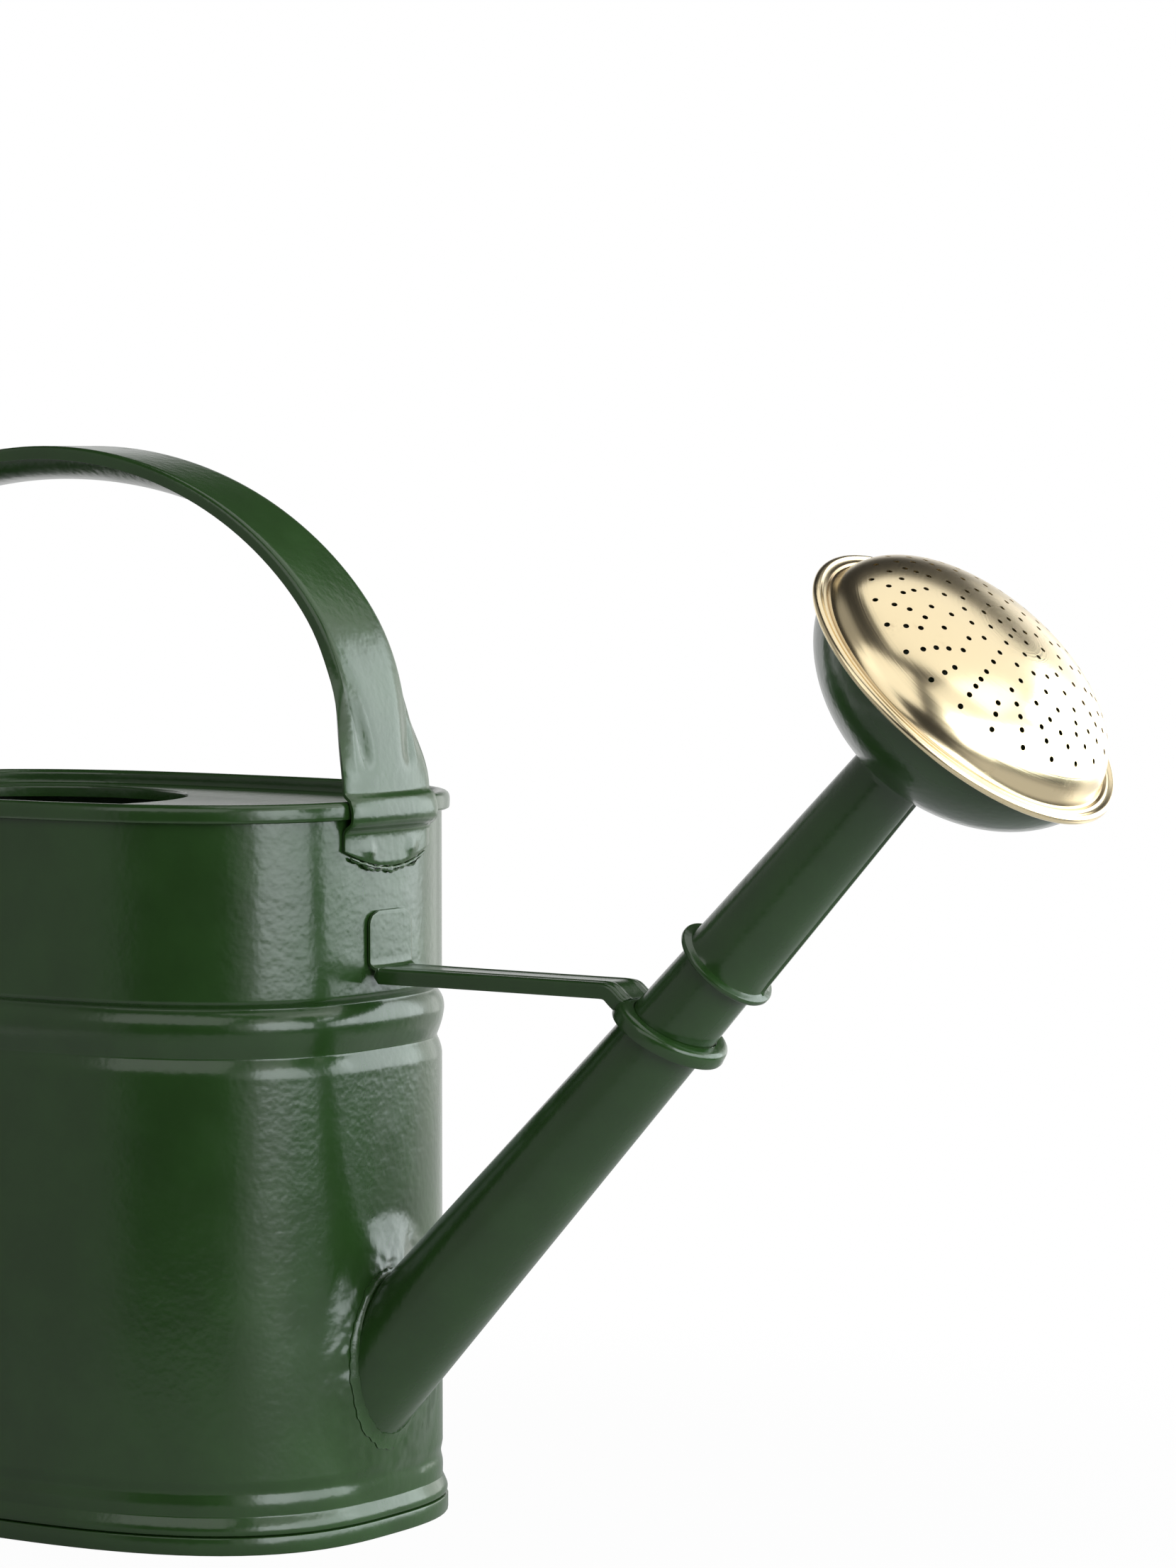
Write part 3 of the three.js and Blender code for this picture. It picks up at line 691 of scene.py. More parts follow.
class BuildBase(bpy.types.Operator):
    """Hem the bottom plate round the wall's lower edge"""

    bl_idname = "watering_can.base"
    bl_label = "Bottom Plate"

    def execute(self, context):
        body = context.scene.can_body
        base = OvalSheet(body, 0.35 * MM, body.hem_height)
        for out, z in (
            (body.hem_out - 0.5 * MM, body.hem_height),
            (body.hem_out - 0.15 * MM, body.hem_height - 0.15 * MM),
            (body.hem_out, body.hem_height - 0.5 * MM),
            (body.hem_out, 0.6 * MM),
            (body.hem_out - 0.18 * MM, 0.18 * MM),
            (body.hem_out - 0.6 * MM, 0),
            (WALL_INSIDE + 0.6 * MM, 0),
            (WALL_INSIDE + 0.18 * MM, 0.18 * MM),
            (WALL_INSIDE, 0.6 * MM),
            (WALL_INSIDE, body.base_recess - 0.8 * MM),
            (WALL_INSIDE - 0.3 * MM, body.base_recess - 0.2 * MM),
            (WALL_INSIDE - 1.0 * MM, body.base_recess),
            (WALL_INSIDE - 12 * MM, body.base_recess),
        ):
            base.pull(out, z)
        bpy.ops.mesh.edge_face_add()
        face_outwards(base.obj, (0, 0, -1))
        thicken(base.obj, PLATE_SHEET, edge=0)
        hand_over(base.obj, "base_plate")
        return {"FINISHED"}


class BuildDeck(bpy.types.Operator):
    """Roll the rim over the wall and sink the deck with its round filler hole"""

    bl_idname = "watering_can.deck"
    bl_label = "Deck and Rim"

    def execute(self, context):
        body = context.scene.can_body
        top = body.height
        low = top - body.rim_depth
        plate = top - body.deck_recess
        hole_x = BODY_X - body.length / 2 + body.hole_ledge + body.hole_radius
        rim = OvalSheet(body, 0.4 * MM, low)
        for out, z in smooth_line(
            [
                (1.3 * MM, low), (body.rim_out - 0.15 * MM, low + 0.3 * MM),
                (body.rim_out, low + 1.2 * MM), (body.rim_out, top - 1.9 * MM),
                (body.rim_out - 0.5 * MM, top - 0.6 * MM), (0.6 * MM, top),
                (-0.7 * MM, top - 0.05 * MM), (WALL_INSIDE + 0.3 * MM, top - 0.6 * MM),
                (WALL_INSIDE, top - 1.4 * MM), (WALL_INSIDE, plate + 0.7 * MM),
                (WALL_INSIDE - 0.35 * MM, plate + 0.12 * MM), (WALL_INSIDE - 1.1 * MM, plate),
            ],
            2,
        ):
            rim.pull(out, z)
        edge = body.hole_radius + 0.8 * MM
        bpy.ops.mesh.primitive_circle_add(vertices=96, radius=edge, location=(hole_x, 0, plate))
        pick(rim.obj, lambda at: at.z < plate + 1e-6 and self.on_deck(at, body))
        bpy.ops.mesh.bridge_edge_loops()
        pick(rim.obj, lambda at: math.hypot(at.x - hole_x, at.y) < edge + 1e-6)
        lip = Sheet(rim.obj, (edge, edge), plate, (hole_x, 0))
        for out, z in (
            (0.35 * MM, plate - 0.12 * MM), (0.08 * MM, plate - 0.45 * MM),
            (0, plate - 0.9 * MM), (0, plate - body.hole_lip),
        ):
            ring = body.hole_radius + out
            lip.draw_to((ring, ring), z)
        face_outwards(rim.obj, (0, 0, 1))
        thicken(rim.obj, PLATE_SHEET, edge=0)
        hand_over(rim.obj, "top_deck")
        return {"FINISHED"}

    def on_deck(self, at, body):
        """The deck's edge, or the hole's ring, but no loop of the rim's outside."""
        lengthwise = abs(at.x - BODY_X) / (body.length / 2 - DECK_EDGE)
        across = abs(at.y) / (body.width / 2 - DECK_EDGE)
        return lengthwise ** body.squareness + across ** body.squareness < 1


class Strap:
    """The handle's line, walked from the front tab over the crown to the rear tab."""

    def __init__(self, body, handle):
        self.body = body
        self.handle = handle
        self.spring = body.height + FIT
        half = body.length / 2
        self.face = half + FIT + handle.sheet
        front = self.face + body.rim_out + 0.2 * MM
        rear = -half - handle.rear_out
        self.centre = (front + rear) / 2
        self.half_span = (front - rear) / 2
        over = front - 0.2 * MM
        rim_low = body.height - body.rim_depth
        jog = [
            (self.face, rim_low - 4.6 * MM), (self.face, rim_low - 2.2 * MM),
            (over, rim_low - 2.6 * MM), (over, rim_low - 0.4 * MM),
        ]
        landing = math.acos((self.centre + self.face + 4 * MM) / self.half_span)
        foot = self.on_arch(math.pi + landing)
        slope = Vector((
            -self.half_span * math.sin(math.pi + landing),
            0,
            handle.drop * math.cos(math.pi + landing),
        ))
        corner = foot + slope * ((-self.face - foot.x) / slope.x)
        self.foot_z = foot.z
        low = Vector((-self.face, 0, foot.z - 9 * MM))
        points = [Vector((self.face, 0, mix(body.height - handle.front_drop, jog[0][1], i / 6)))
                  for i in range(6)]
        points += [self.cubic(jog, i / 10) for i in range(11)]
        points += [Vector((mix(over, front, i / 3), 0, mix(jog[3][1], self.spring, i / 3)))
                   for i in range(1, 3)]
        crowded = (0, 2, 4, 6, 8, 12, 16, 20, 25, 30, 35)
        points += [self.on_arch(math.pi * i / 960) for i in crowded]
        points += [self.on_arch(math.pi * i / 96) for i in range(4, 97)]
        points += [self.on_arch(math.pi + landing * i / 26) for i in range(1, 27)]
        points += [self.curve(foot, corner, low, i / 10) for i in range(1, 11)]
        points += [Vector((-self.face, 0, low.z - handle.rear_tab * i / 8)) for i in range(1, 9)]
        self.points = [point + Vector((BODY_X, 0, 0)) for point in points]
        self.end_z = low.z - handle.rear_tab

    def on_arch(self, turn):
        high = self.handle.rise if turn <= math.pi else self.handle.drop
        return Vector((
            self.centre + self.half_span * math.cos(turn), 0, self.spring + high * math.sin(turn)
        ))

    def cubic(self, p, t):
        weights = ((1 - t) ** 3, 3 * t * (1 - t) ** 2, 3 * t * t * (1 - t), t ** 3)
        return Vector((
            sum(w * q[0] for w, q in zip(weights, p)), 0,
            sum(w * q[1] for w, q in zip(weights, p)),
        ))

    def curve(self, a, b, c, t):
        return a * (1 - t) ** 2 + b * 2 * t * (1 - t) + c * t * t

    def frame_at(self, row):
        """A point of the line, the way it heads and the way out of the strap."""
        before = self.points[max(row - 1, 0)]
        after = self.points[min(row + 1, len(self.points) - 1)]
        heading = (after - before).normalized()
        return self.points[row], heading, Vector((heading.z, 0, -heading.x))

    def section(self, row):
        """Half width of the flat, the flange, its fold, how far seated and whether in front."""
        handle = self.handle
        at = self.points[row]
        in_front = at.x - BODY_X > self.centre
        above = at.z - (self.body.height if in_front else self.foot_z)
        crownward = min(max(above / handle.rise, 0), 1)
        opened = 1 - step(above, handle.spread_low, handle.spread_high)
        fold = mix(mix(handle.fold_at_foot, handle.fold_at_crown, crownward),
                   handle.tab_fold, opened)
        flange = mix(handle.flange, handle.tab_half - handle.tab_fold, opened ** 2)
        seated = 1 - step(above, 0, 30 * MM)
        return fold, flange, (1 - opened) * math.pi / 2, seated, in_front

    def across(self, row, u):
        """Where a column of the sheet lies: sideways, and how far below the outer face."""
        fold, flange, angle = self.section(row)[:3]
        side = 1 if u > 0.5 else -1
        share = abs(u - 0.5) * 2
        bend = 1.7 * MM
        trim = bend * math.tan(angle / 2)
        if share <= 0.6:
            return side * (fold - trim) * share / 0.6, 0
        if share <= 0.8:
            t = (share - 0.6) / 0.2 * angle
            return side * (fold - trim + bend * math.sin(t)), bend * (1 - math.cos(t))
        t = (share - 0.8) / 0.2
        run = (flange - trim) * t
        return (
            side * (fold - trim + bend * math.sin(angle) + run * math.cos(angle)),
            bend * (1 - math.cos(angle)) + run * math.sin(angle),
        )


class BuildHandle(bpy.types.Operator):
    """Fold a steel strap, arch it over the can and seat its tabs on the wall"""

    bl_idname = "watering_can.handle"
    bl_label = "Handle Strap"

    def execute(self, context):
        scene = context.scene
        body, handle = scene.can_body, scene.can_handle
        strap = Strap(body, handle)
        rows = len(strap.points) - 1
        half = body.length / 2

        def place(u, v):
            row = round(v * rows)
            at, _, outward = strap.frame_at(row)
            sideways, sunk = strap.across(row, u)
            crease, seated, in_front = (strap.section(row)[i] for i in (0, 3, 4))
            hollow = half - wall_x(body, sideways)
            cup = (-hollow if in_front else hollow) * seated
            rounding = handle.tab_rounding * (sideways / handle.tab_half) ** 2
            near_end = max(1 - min(row, rows - row) / 5, 0)
            above = at.z - (body.height if in_front else strap.foot_z)
            sunk -= self.pressed(handle, above, sideways, crease, in_front)
            return (
                at - outward * sunk
                + Vector((cup, sideways, 0))
                + Vector((0, 0, rounding * near_end))
            )

        obj = bent_sheet(40, rows, place)
        face_outwards(obj, (0, 0, 1))
        thicken(obj, handle.sheet, edge=0.25 * MM)
        hand_over(obj, "handle_strap", smooth=50)
        return {"FINISHED"}

    def pressed(self, handle, above, sideways, crease, in_front):
        """The roll over the rim, the pinches where the folds die out, and the weld marks."""
        roll = 0
        if in_front:
            roll = handle.rim_roll * math.exp(-((above + 4.4 * MM) / (3.2 * MM)) ** 2)
            roll -= handle.rim_step * (
                step(above, -0.4 * MM, 2.6 * MM) * (1 - step(above, 6 * MM, 62 * MM))
            )
        beside = abs(sideways) - crease
        width = (3.4 if beside < 0 else 1.3) * MM
        pinch = handle.dent * math.exp(-(beside / width) ** 2) * (
            step(above, 6 * MM, 15 * MM) * (1 - step(above, 18 * MM, 56 * MM))
        )
        from_weld = math.hypot(beside + 0.5 * MM, above + 15.2 * MM)
        weld = 0.5 * MM * math.exp(-(from_weld / (2.4 * MM)) ** 4)
        return roll - pinch + weld


class BuildLiner(bpy.types.Operator):
    """Close the underside of the grip with a shallow pressed trough"""

    bl_idname = "watering_can.liner"
    bl_label = "Grip Liner"

    def execute(self, context):
        scene = context.scene
        body, handle = scene.can_body, scene.can_handle
        strap = Strap(body, handle)
        rows = 72
        low = math.acos(handle.liner_reach / strap.half_span)
        rim = handle.flange - body.sheet - 0.4 * MM

        def place(u, v):
            turn = mix(low, math.pi - low, v)
            at = strap.on_arch(turn)
            heading = Vector((
                -strap.half_span * math.sin(turn), 0, handle.rise * math.cos(turn)
            )).normalized()
            outward = Vector((heading.z, 0, -heading.x))
            crownward = (at.z - body.height) / handle.rise
            fold = mix(handle.fold_at_foot, handle.fold_at_crown, crownward)
            half = fold - handle.sheet - FIT
            side = (u - 0.5) * 2
            belly = handle.liner_bulge * math.sin(math.pi * v) ** 0.8 * (1 - abs(side) ** 2.6)
            return at - outward * (rim + belly) + Vector((BODY_X, half * side, 0))

        obj = bent_sheet(20, rows, place)
        face_outwards(obj, (1, 0, 0))
        thicken(obj, -body.sheet, edge=0.2 * MM)
        hand_over(obj, "handle_grip_liner")
        return {"FINISHED"}


class BuildTabSolder(bpy.types.Operator):
    """Run a lumpy bead of solder along the lower edge of each handle tab"""

    bl_idname = "watering_can.tab_solder"
    bl_label = "Handle Solder"

    def execute(self, context):
        scene = context.scene
        body, handle = scene.can_body, scene.can_handle
        strap = Strap(body, handle)
        front_edge = body.height - handle.front_drop
        self.run(context, "handle_front_solder", 1, front_edge)
        self.run(context, "handle_rear_solder", -1, strap.end_z)
        return {"FINISHED"}

    def run(self, context, node, side, edge_z):
        scene = context.scene
        body, handle = scene.can_body, scene.can_handle
        reach = handle.tab_half - 2.3 * MM

        def place(u, v):
            turn = 2 * math.pi * u
            across = mix(-reach, reach, v)
            ends = max(1 - (2 * v - 1) ** 8, 0) ** 0.5
            lump = (0.66 + 0.16 * math.sin(v * 41) + 0.12 * math.sin(v * 77 + 1)) * ends * MM
            sag = (0.35 + 0.35 * math.sin(v * 23 + 2)) * ends * MM
            out = wall_x(body, across) + 0.95 * MM + 0.75 * lump * math.cos(turn)
            edge = edge_z + handle.tab_rounding * (across / handle.tab_half) ** 2 - 0.9 * MM
            drop = sag if math.sin(turn) < 0 else 0
            return Vector((BODY_X + side * out, across, edge + lump * math.sin(turn) - drop))

        obj = bent_sheet(16, 90, place)
        face_outwards(obj, (side, 0, 0))
        hand_over(obj, node, finish="solder_coat", smooth=80)


class BuildSpout(bpy.types.Operator):
    """Roll the tapered spout and trim its foot to the wall"""

    bl_idname = "watering_can.spout"
    bl_label = "Spout Tube"

    def execute(self, context):
        scene = context.scene
        body, spout = scene.can_body, scene.can_spout
        tube = RoundSheet(spout_radius(spout, spout.root), spout.root, 96)
        stations = 40
        for i in range(1, stations + 1):
            along = mix(spout.root, spout.end - 0.4 * MM, i / stations)
            tube.pull(spout_radius(spout, along), along)
        tube.pull(spout_radius(spout, spout.end) - 0.15 * MM, spout.end - 0.1 * MM)
        tube.pull(spout_radius(spout, spout.end) - 0.4 * MM, spout.end)
        bpy.ops.object.mode_set(mode="OBJECT")
        settle(tube.obj, along_spout(body, spout))
        bpy.ops.object.mode_set(mode="EDIT")
        bpy.ops.mesh.select_all(action="SELECT")
        bpy.ops.mesh.bisect(
            plane_co=(BODY_X + body.length / 2 + 0.4 * MM, 0, 0), plane_no=(1, 0, 0),
            clear_inner=True,
        )
        face_outwards(tube.obj, (1, 0, 0))
        thicken(tube.obj, body.sheet, edge=0)
        hand_over(tube.obj, "spout_tube")
        return {"FINISHED"}


class BuildRootSolder(bpy.types.Operator):
    """Wipe a rough fillet of solder round the spout's root"""

    bl_idname = "watering_can.root_solder"
    bl_label = "Root Solder"

    def execute(self, context):
        scene = context.scene
        body, spout = scene.can_body, scene.can_spout
        place_on = along_spout(body, spout)
        axis = place_on.to_3x3() @ Vector((0, 0, 1))
        plane = BODY_X + body.length / 2 + 0.35 * MM
        rng = random.Random(7)
        phases = [rng.uniform(0, 6.28) for _ in range(6)]

        def wobble(turn):
            return sum(
                math.sin(turn * k + phase) for k, phase in zip((3, 7, 11, 17, 29, 41), phases)
            ) / 6

        def place(u, v):
            turn = 2 * math.pi * u
            width = spout.fringe * (1 + 0.35 * wobble(turn))
            height = 1.35 * MM * (1 + 0.3 * wobble(turn + 1))
            rise = height * (1 - v) ** 1.7
            spread = 0.25 * MM + (width - 0.25 * MM) * v ** 1.3
            along = 60 * MM
            for _ in range(8):
                radius = spout_radius(spout, along) + spread
                at = place_on @ Vector((radius * math.cos(turn), radius * math.sin(turn), along))
                along += (plane + rise - at.x) / axis.x
            on_wall = wall_x(body, at.y) - body.length / 2
            return Vector((at.x + on_wall, at.y, at.z))

        obj = bent_sheet(220, 12, place)
        face_outwards(obj, (1, 0, 0))
        apply_modifier(obj, "SOLIDIFY", thickness=0.25 * MM, offset=-1)
        hand_over(obj, "spout_solder", finish="solder_coat", smooth=80)
        return {"FINISHED"}


class BuildBrace(bpy.types.Operator):
    """Fold the brace: a tab on the wall, a channel to the spout and an eye round it"""

    bl_idname = "watering_can.brace"
    bl_label = "Spout Brace"

    def execute(self, context):
        scene = context.scene
        body, handle, spout = scene.can_body, scene.can_handle, scene.can_spout
        place_on = along_spout(body, spout)
        z = body.height - spout.brace_below_rim
        sheet = handle.sheet
        eye_along = (z - spout.eye_drop) / math.sin(spout.angle)
        eye = (
            Matrix.Translation(place_on @ Vector((0, 0, eye_along)))
            @ place_on.to_3x3().to_4x4()
            @ Matrix.Rotation(-spout.eye_tilt, 4, "Y")
        )
        bore = spout_radius(spout, eye_along) + FIT
        bore_long = bore / math.cos(spout.eye_tilt)
        across = bore + spout.eye_face
        long = bore_long + spout.eye_face
        strap = self.strap(body, spout, sheet, z, eye, long)
        ring = self.eye(bore, bore_long, across, long, spout)
        settle(ring, eye)
        thicken(ring, sheet * EYE_SHEET, edge=0)
        choose(strap, ring)
        bpy.ops.object.join()
        hand_over(strap, "brace", smooth=40)
        return {"FINISHED"}

    def strap(self, body, spout, sheet, z, eye, long):
        """The tab, turned out from the wall into a channel that ends on the eye."""
        wall = BODY_X + wall_x(body, 0) + FIT
        bend = 1.8 * MM
        rear = eye @ Vector((-long, 0, 0))
        slope = (eye.to_3x3() @ Vector((1, 0, 0))).normalized()
        face = wall + sheet
        stations = []
        top = z + spout.brace_tab
        for i in range(13):
            stations.append((Vector((face, 0, mix(top, z + bend, i / 12))), 0.0, 1))
        for i in range(1, 7):
            turn = math.pi / 2 * i / 6
            stations.append((
                Vector((face + bend * (1 - math.cos(turn)), 0, z + bend * (1 - math.sin(turn)))),
                0.0, 1 - 0.5 * i / 6,
            ))
        stations.append((Vector((face + bend + 0.15 * MM, 0, z)), 1, 0.5))
        turn_x = rear.x - 5.5 * MM
        for i in range(1, 25):
            x = mix(face + bend + 0.2 * MM, turn_x, i / 24)
            stations.append((Vector((x, 0, z)), 1, 0.5 * (1 - step(i, 0, 8))))
        a, b = Vector((turn_x, 0, z)), Vector((turn_x + 5 * MM, 0, z))
        d = rear + slope * 3.4 * MM + Vector((0, 0, 0.3 * MM))
        c = d - slope * 4 * MM
        for i in range(1, 11):
            t = i / 10
            at = (a * (1 - t) ** 3 + b * 3 * t * (1 - t) ** 2
                  + c * 3 * t * t * (1 - t) + d * t ** 3)
            stations.append((at, 1, 0))
        rows = len(stations) - 1

        def place(u, v):
            row = round(v * rows)
            at, folded, on_tab = stations[row]
            before = stations[max(row - 1, 0)][0]
            after = stations[min(row + 1, rows)][0]
            heading = (after - before).normalized()
            outward = Vector((-heading.z, 0, heading.x))
            side = (u - 0.5) * 2
            share = abs(side)
            below_top = top - at.z
            corner = 4.2 * MM
            inset = 0.0
            if on_tab and below_top < corner:
                inset = corner - math.sqrt(max(corner ** 2 - (corner - below_top) ** 2, 0))
            width = mix(spout.brace_half, spout.brace_tab_half, on_tab) - inset
            flange = mix(0.0, spout.brace_flange, folded)
            radius = 1.2 * MM * folded
            if share <= 0.6:
                sideways, sunk = (width - radius) * share / 0.6, 0.0
            elif share <= 0.8:
                t = (share - 0.6) / 0.2 * math.pi / 2
                sideways = width - radius + radius * math.sin(t)
                sunk = radius * (1 - math.cos(t))
            else:
                sideways = width
                sunk = radius + (flange - radius) * (share - 0.8) / 0.2
            rib = 0.35 * MM * folded * math.exp(-((share - 0.42) / 0.05) ** 2)
            sideways *= 1 if side > 0 else -1
            hug = 0.0
            if at.z > z + bend / 2:
                hug = (wall_x(body, sideways) - body.length / 2) * on_tab
            return at + outward * (rib - sunk) + Vector((hug, sideways, 0))

        obj = bent_sheet(40, rows, place)
        face_outwards(obj, (0, 0, 1))
        thicken(obj, sheet * 0.9, edge=0.2 * MM)
        return obj

    def eye(self, bore, bore_long, across, long, spout):
        """The eye's flat ring, with its outer edge turned down along the spout."""
        ring = start(bpy.ops.mesh.primitive_circle_add, vertices=96, radius=1)
        lean = math.tan(spout.eye_tilt)
        bpy.ops.transform.resize(value=(bore_long, bore, 1), center_override=(0, 0, 0))
        bend = 1.9 * MM
        steps = [(bore_long + 0.3 * MM, bore + 0.3 * MM, 0.0),
                 (long - bend, across - bend, 0.0)]
        for i in range(1, 6):
            turn = math.pi / 2 * i / 5
            steps.append((
                long - bend + bend * math.sin(turn), across - bend + bend * math.sin(turn),
                -bend * (1 - math.cos(turn)),
            ))
        skirt = -spout.eye_skirt + 1.6 * MM
        steps += [
            (long, across, skirt + 0.8 * MM),
            (long - 0.25 * MM, across - 0.25 * MM, skirt + 0.2 * MM),
            (long - 0.9 * MM, across - 0.9 * MM, skirt),
        ]
        sheet = Sheet(ring, (bore_long, bore), 0.0)
        for x, y, z in steps:
            sheet.draw_to((x, y), z)
        bpy.ops.object.mode_set(mode="OBJECT")
        for vertex in ring.data.vertices:
            rear = max(0.5 - 0.5 * vertex.co.x / long, 0)
            vertex.co.x += vertex.co.z * lean * rear
        bpy.ops.object.mode_set(mode="EDIT")
        face_outwards(ring, (0, 0, 1))
        return ring


# ---- pieces of the rose ----


class BuildSocket(bpy.types.Operator):
    """Roll the rose's tapered socket with its collar and lapped seam"""

    bl_idname = "watering_can.socket"
    bl_label = "Rose Socket"

    def execute(self, context):
        scene = context.scene
        body, spout, rose = scene.can_body, scene.can_spout, scene.can_rose
        first = rose.socket_start
        lip = socket_radius(spout, rose, first)
        out = lip + rose.collar
        skin = lip + body.sheet
        tube = RoundSheet(lip + 0.1 * MM, first, 128)
        for radius, along in (
            (out - 0.7 * MM, first), (out - 0.25 * MM, first + 0.12 * MM),
            (out, first + 0.5 * MM), (out, first + 1.3 * MM),
            (out - 0.2 * MM, first + 1.65 * MM), (out - 0.7 * MM, first + 1.85 * MM),
            (skin + 1.0 * MM, first + 1.95 * MM), (skin + 0.3 * MM, first + 2.3 * MM),
            (skin, first + 3.2 * MM),
        ):
            tube.pull(radius, along)
        for i in range(1, 31):
            along = mix(first + 3.2 * MM, rose.socket_end, i / 30)
            tube.pull(socket_radius(spout, rose, along) + body.sheet, along)
        tube.pull(socket_radius(spout, rose, rose.socket_end), rose.socket_end)
        for i in range(1, 9):
            along = mix(rose.socket_end, first, i / 8)
            tube.pull(socket_radius(spout, rose, along) + 0.02 * MM, along)
        face_outwards(tube.obj, (1, 0, 0))
        self.lap(tube.obj, skin, first + 2.2 * MM, rose)
        settle(tube.obj, along_spout(body, spout))
        hand_over(tube.obj, "rose_socket", "rose")
        return {"FINISHED"}

    def lap(self, obj, skin, start_at, rose):
        """Stand the lapped edge of the sheet proud of the tube, easing back round its side."""
        for near, beyond, proud in ((11, 19, 0.55), (19, 29, 0.4), (29, 42, 0.2)):
            def on_lap(at):
                turn = math.degrees(math.atan2(at.y, at.x))
                thin = skin - (at.z - start_at) * 0.028 - 0.6 * MM
                return (near <= turn < beyond and start_at < at.z < rose.socket_end - 3 * MM
                        and math.hypot(at.x, at.y) > thin)
            bpy.ops.object.mode_set(mode="EDIT")
            pick(obj, on_lap)
            bpy.ops.transform.shrink_fatten(value=proud * MM)
            bpy.ops.object.mode_set(mode="OBJECT")


class BuildBowl(bpy.types.Operator):
    """Spin the bowl of the rose, from its edge down to its neck"""

    bl_idname = "watering_can.bowl"
    bl_label = "Rose Bowl"

    def execute(self, context):
        scene = context.scene
        body, spout, rose = scene.can_body, scene.can_spout, scene.can_rose
        neck = socket_radius(spout, rose, rose.socket_end) + body.sheet + FIT
        bowl = RoundSheet(rose.bowl_radius + 2 * MM, rose.rim + 0.3 * MM, 144)
        bowl.pull(rose.bowl_radius + 0.6 * MM, rose.rim + 0.2 * MM)
        bowl.pull(rose.bowl_radius + 0.1 * MM, rose.rim - 0.3 * MM)
        for i in range(1, 44):
            deep = math.sin(math.pi / 2 * i / 44)
            radius = rose.bowl_radius * (1 - deep ** 1.737) ** (1 / 1.962)
            if radius > neck + 2.6 * MM:
                bowl.pull(radius, rose.rim - rose.bowl_depth * deep)
        low = bowl.z
        for radius, fall in ((1.5, 0.55), (0.8, 1.1), (0.3, 1.8), (0.05, 2.7), (0, 3.6)):
            bowl.pull(neck + radius * MM, low - fall * MM)
        face_outwards(bowl.obj, (1, 0, 0))
        thicken(bowl.obj, body.sheet * 0.9, edge=0)
        settle(bowl.obj, along_spout(body, spout))
        hand_over(bowl.obj, "rose_bowl", "rose")
        return {"FINISHED"}


SPRAY_RINGS = (
    (0.0, 1), (0.105, 5), (0.22, 10), (0.364, 18), (0.482, 15), (0.592, 20),
    (0.667, 16), (0.730, 28), (0.798, 26), (0.877, 24),
)
SPRAY_PHASE = math.radians(-66)


class BuildFace(bpy.types.Operator):
    """Spin the brass dome, fold its edge over the bowl and pierce the spray holes"""

    bl_idname = "watering_can.face"
    bl_label = "Brass Face"

    def execute(self, context):
        scene = context.scene
        body, spout, rose = scene.can_body, scene.can_spout, scene.can_rose
        outer = rose.face_radius
        rim = rose.rim
        foot = rose.dome_radius + 0.9 * MM
        face = RoundSheet(outer - 3.6 * MM, rim - 0.5 * MM, 192)
        for radius, along in smooth_line(
            [
                (outer - 1.6 * MM, rim - 0.95 * MM), (outer - 0.5 * MM, rim - 0.6 * MM),
                (outer - 0.05 * MM, rim + 0.2 * MM), (outer - 0.35 * MM, rim + 1.15 * MM),
                (outer - 1.2 * MM, rim + 1.75 * MM), (outer - 2.1 * MM, rim + 1.45 * MM),
                (outer - 2.8 * MM, rim + 1.35 * MM), (outer - 3.5 * MM, rim + 1.6 * MM),
                (foot + 0.15 * MM, rim + 1.3 * MM), (foot - 0.5 * MM, rim + 1.75 * MM),
            ],
            3,
        ):
            face.pull(radius, along)
        rings = 34
        for i in range(2, rings):
            high = math.sin(math.pi / 2 * i / rings)
            face.pull(self.dome_radius(rose, high), self.dome_height(rose, high))
        face.pull(0.0004, self.dome_height(rose, 1.0))
        bpy.ops.mesh.merge(type="CENTER")
        face_outwards(face.obj, (0, 0, 1))
        thicken(face.obj, 0.7 * MM, edge=0)
        cut(face.obj, self.drills(rose))
        settle(face.obj, along_spout(body, spout))
        hand_over(face.obj, "rose_face", "rose", "spun_brass")
        return {"FINISHED"}

    def dome_radius(self, rose, high):
        return rose.dome_radius * (1 - high ** 1.9) ** (1 / 2.3)

    def dome_height(self, rose, high):
        return rose.rim + 1.4 * MM + (rose.dome_height - 1.4 * MM) * high

    def height_at(self, rose, radius):
        high = (1 - (radius / rose.dome_radius) ** 2.3) ** (1 / 1.9)
        return self.dome_height(rose, high)

    def drills(self, rose):
        """One drill, copied to each place in the rings and leaned square to the dome."""
        bpy.ops.object.select_all(action="DESELECT")
        bpy.ops.mesh.primitive_cylinder_add(
            vertices=12, radius=rose.spray_hole, depth=5 * MM, location=(0, 0, 0)
        )
        pattern = bpy.context.object
        made = []
        for share, count in SPRAY_RINGS:
            radius = share * rose.dome_radius
            nudge = 0.5 * MM
            fall = self.height_at(rose, radius) - self.height_at(rose, radius + nudge)
            lean = Matrix.Rotation(math.atan2(fall, nudge), 4, "Y")
            lift = Matrix.Translation((radius, 0, self.height_at(rose, radius)))
            for i in range(count):
                drill = pattern.copy()
                drill.data = pattern.data.copy()
                bpy.context.collection.objects.link(drill)
                spin = Matrix.Rotation(SPRAY_PHASE + 2 * math.pi * i / count, 4, "Z")
                drill.matrix_world = spin @ lift @ lean
                made.append(drill)
        bpy.data.objects.remove(pattern)
        choose(*made)
        bpy.ops.object.join()
        return made[0]


# ---- floor, lamps and camera ----


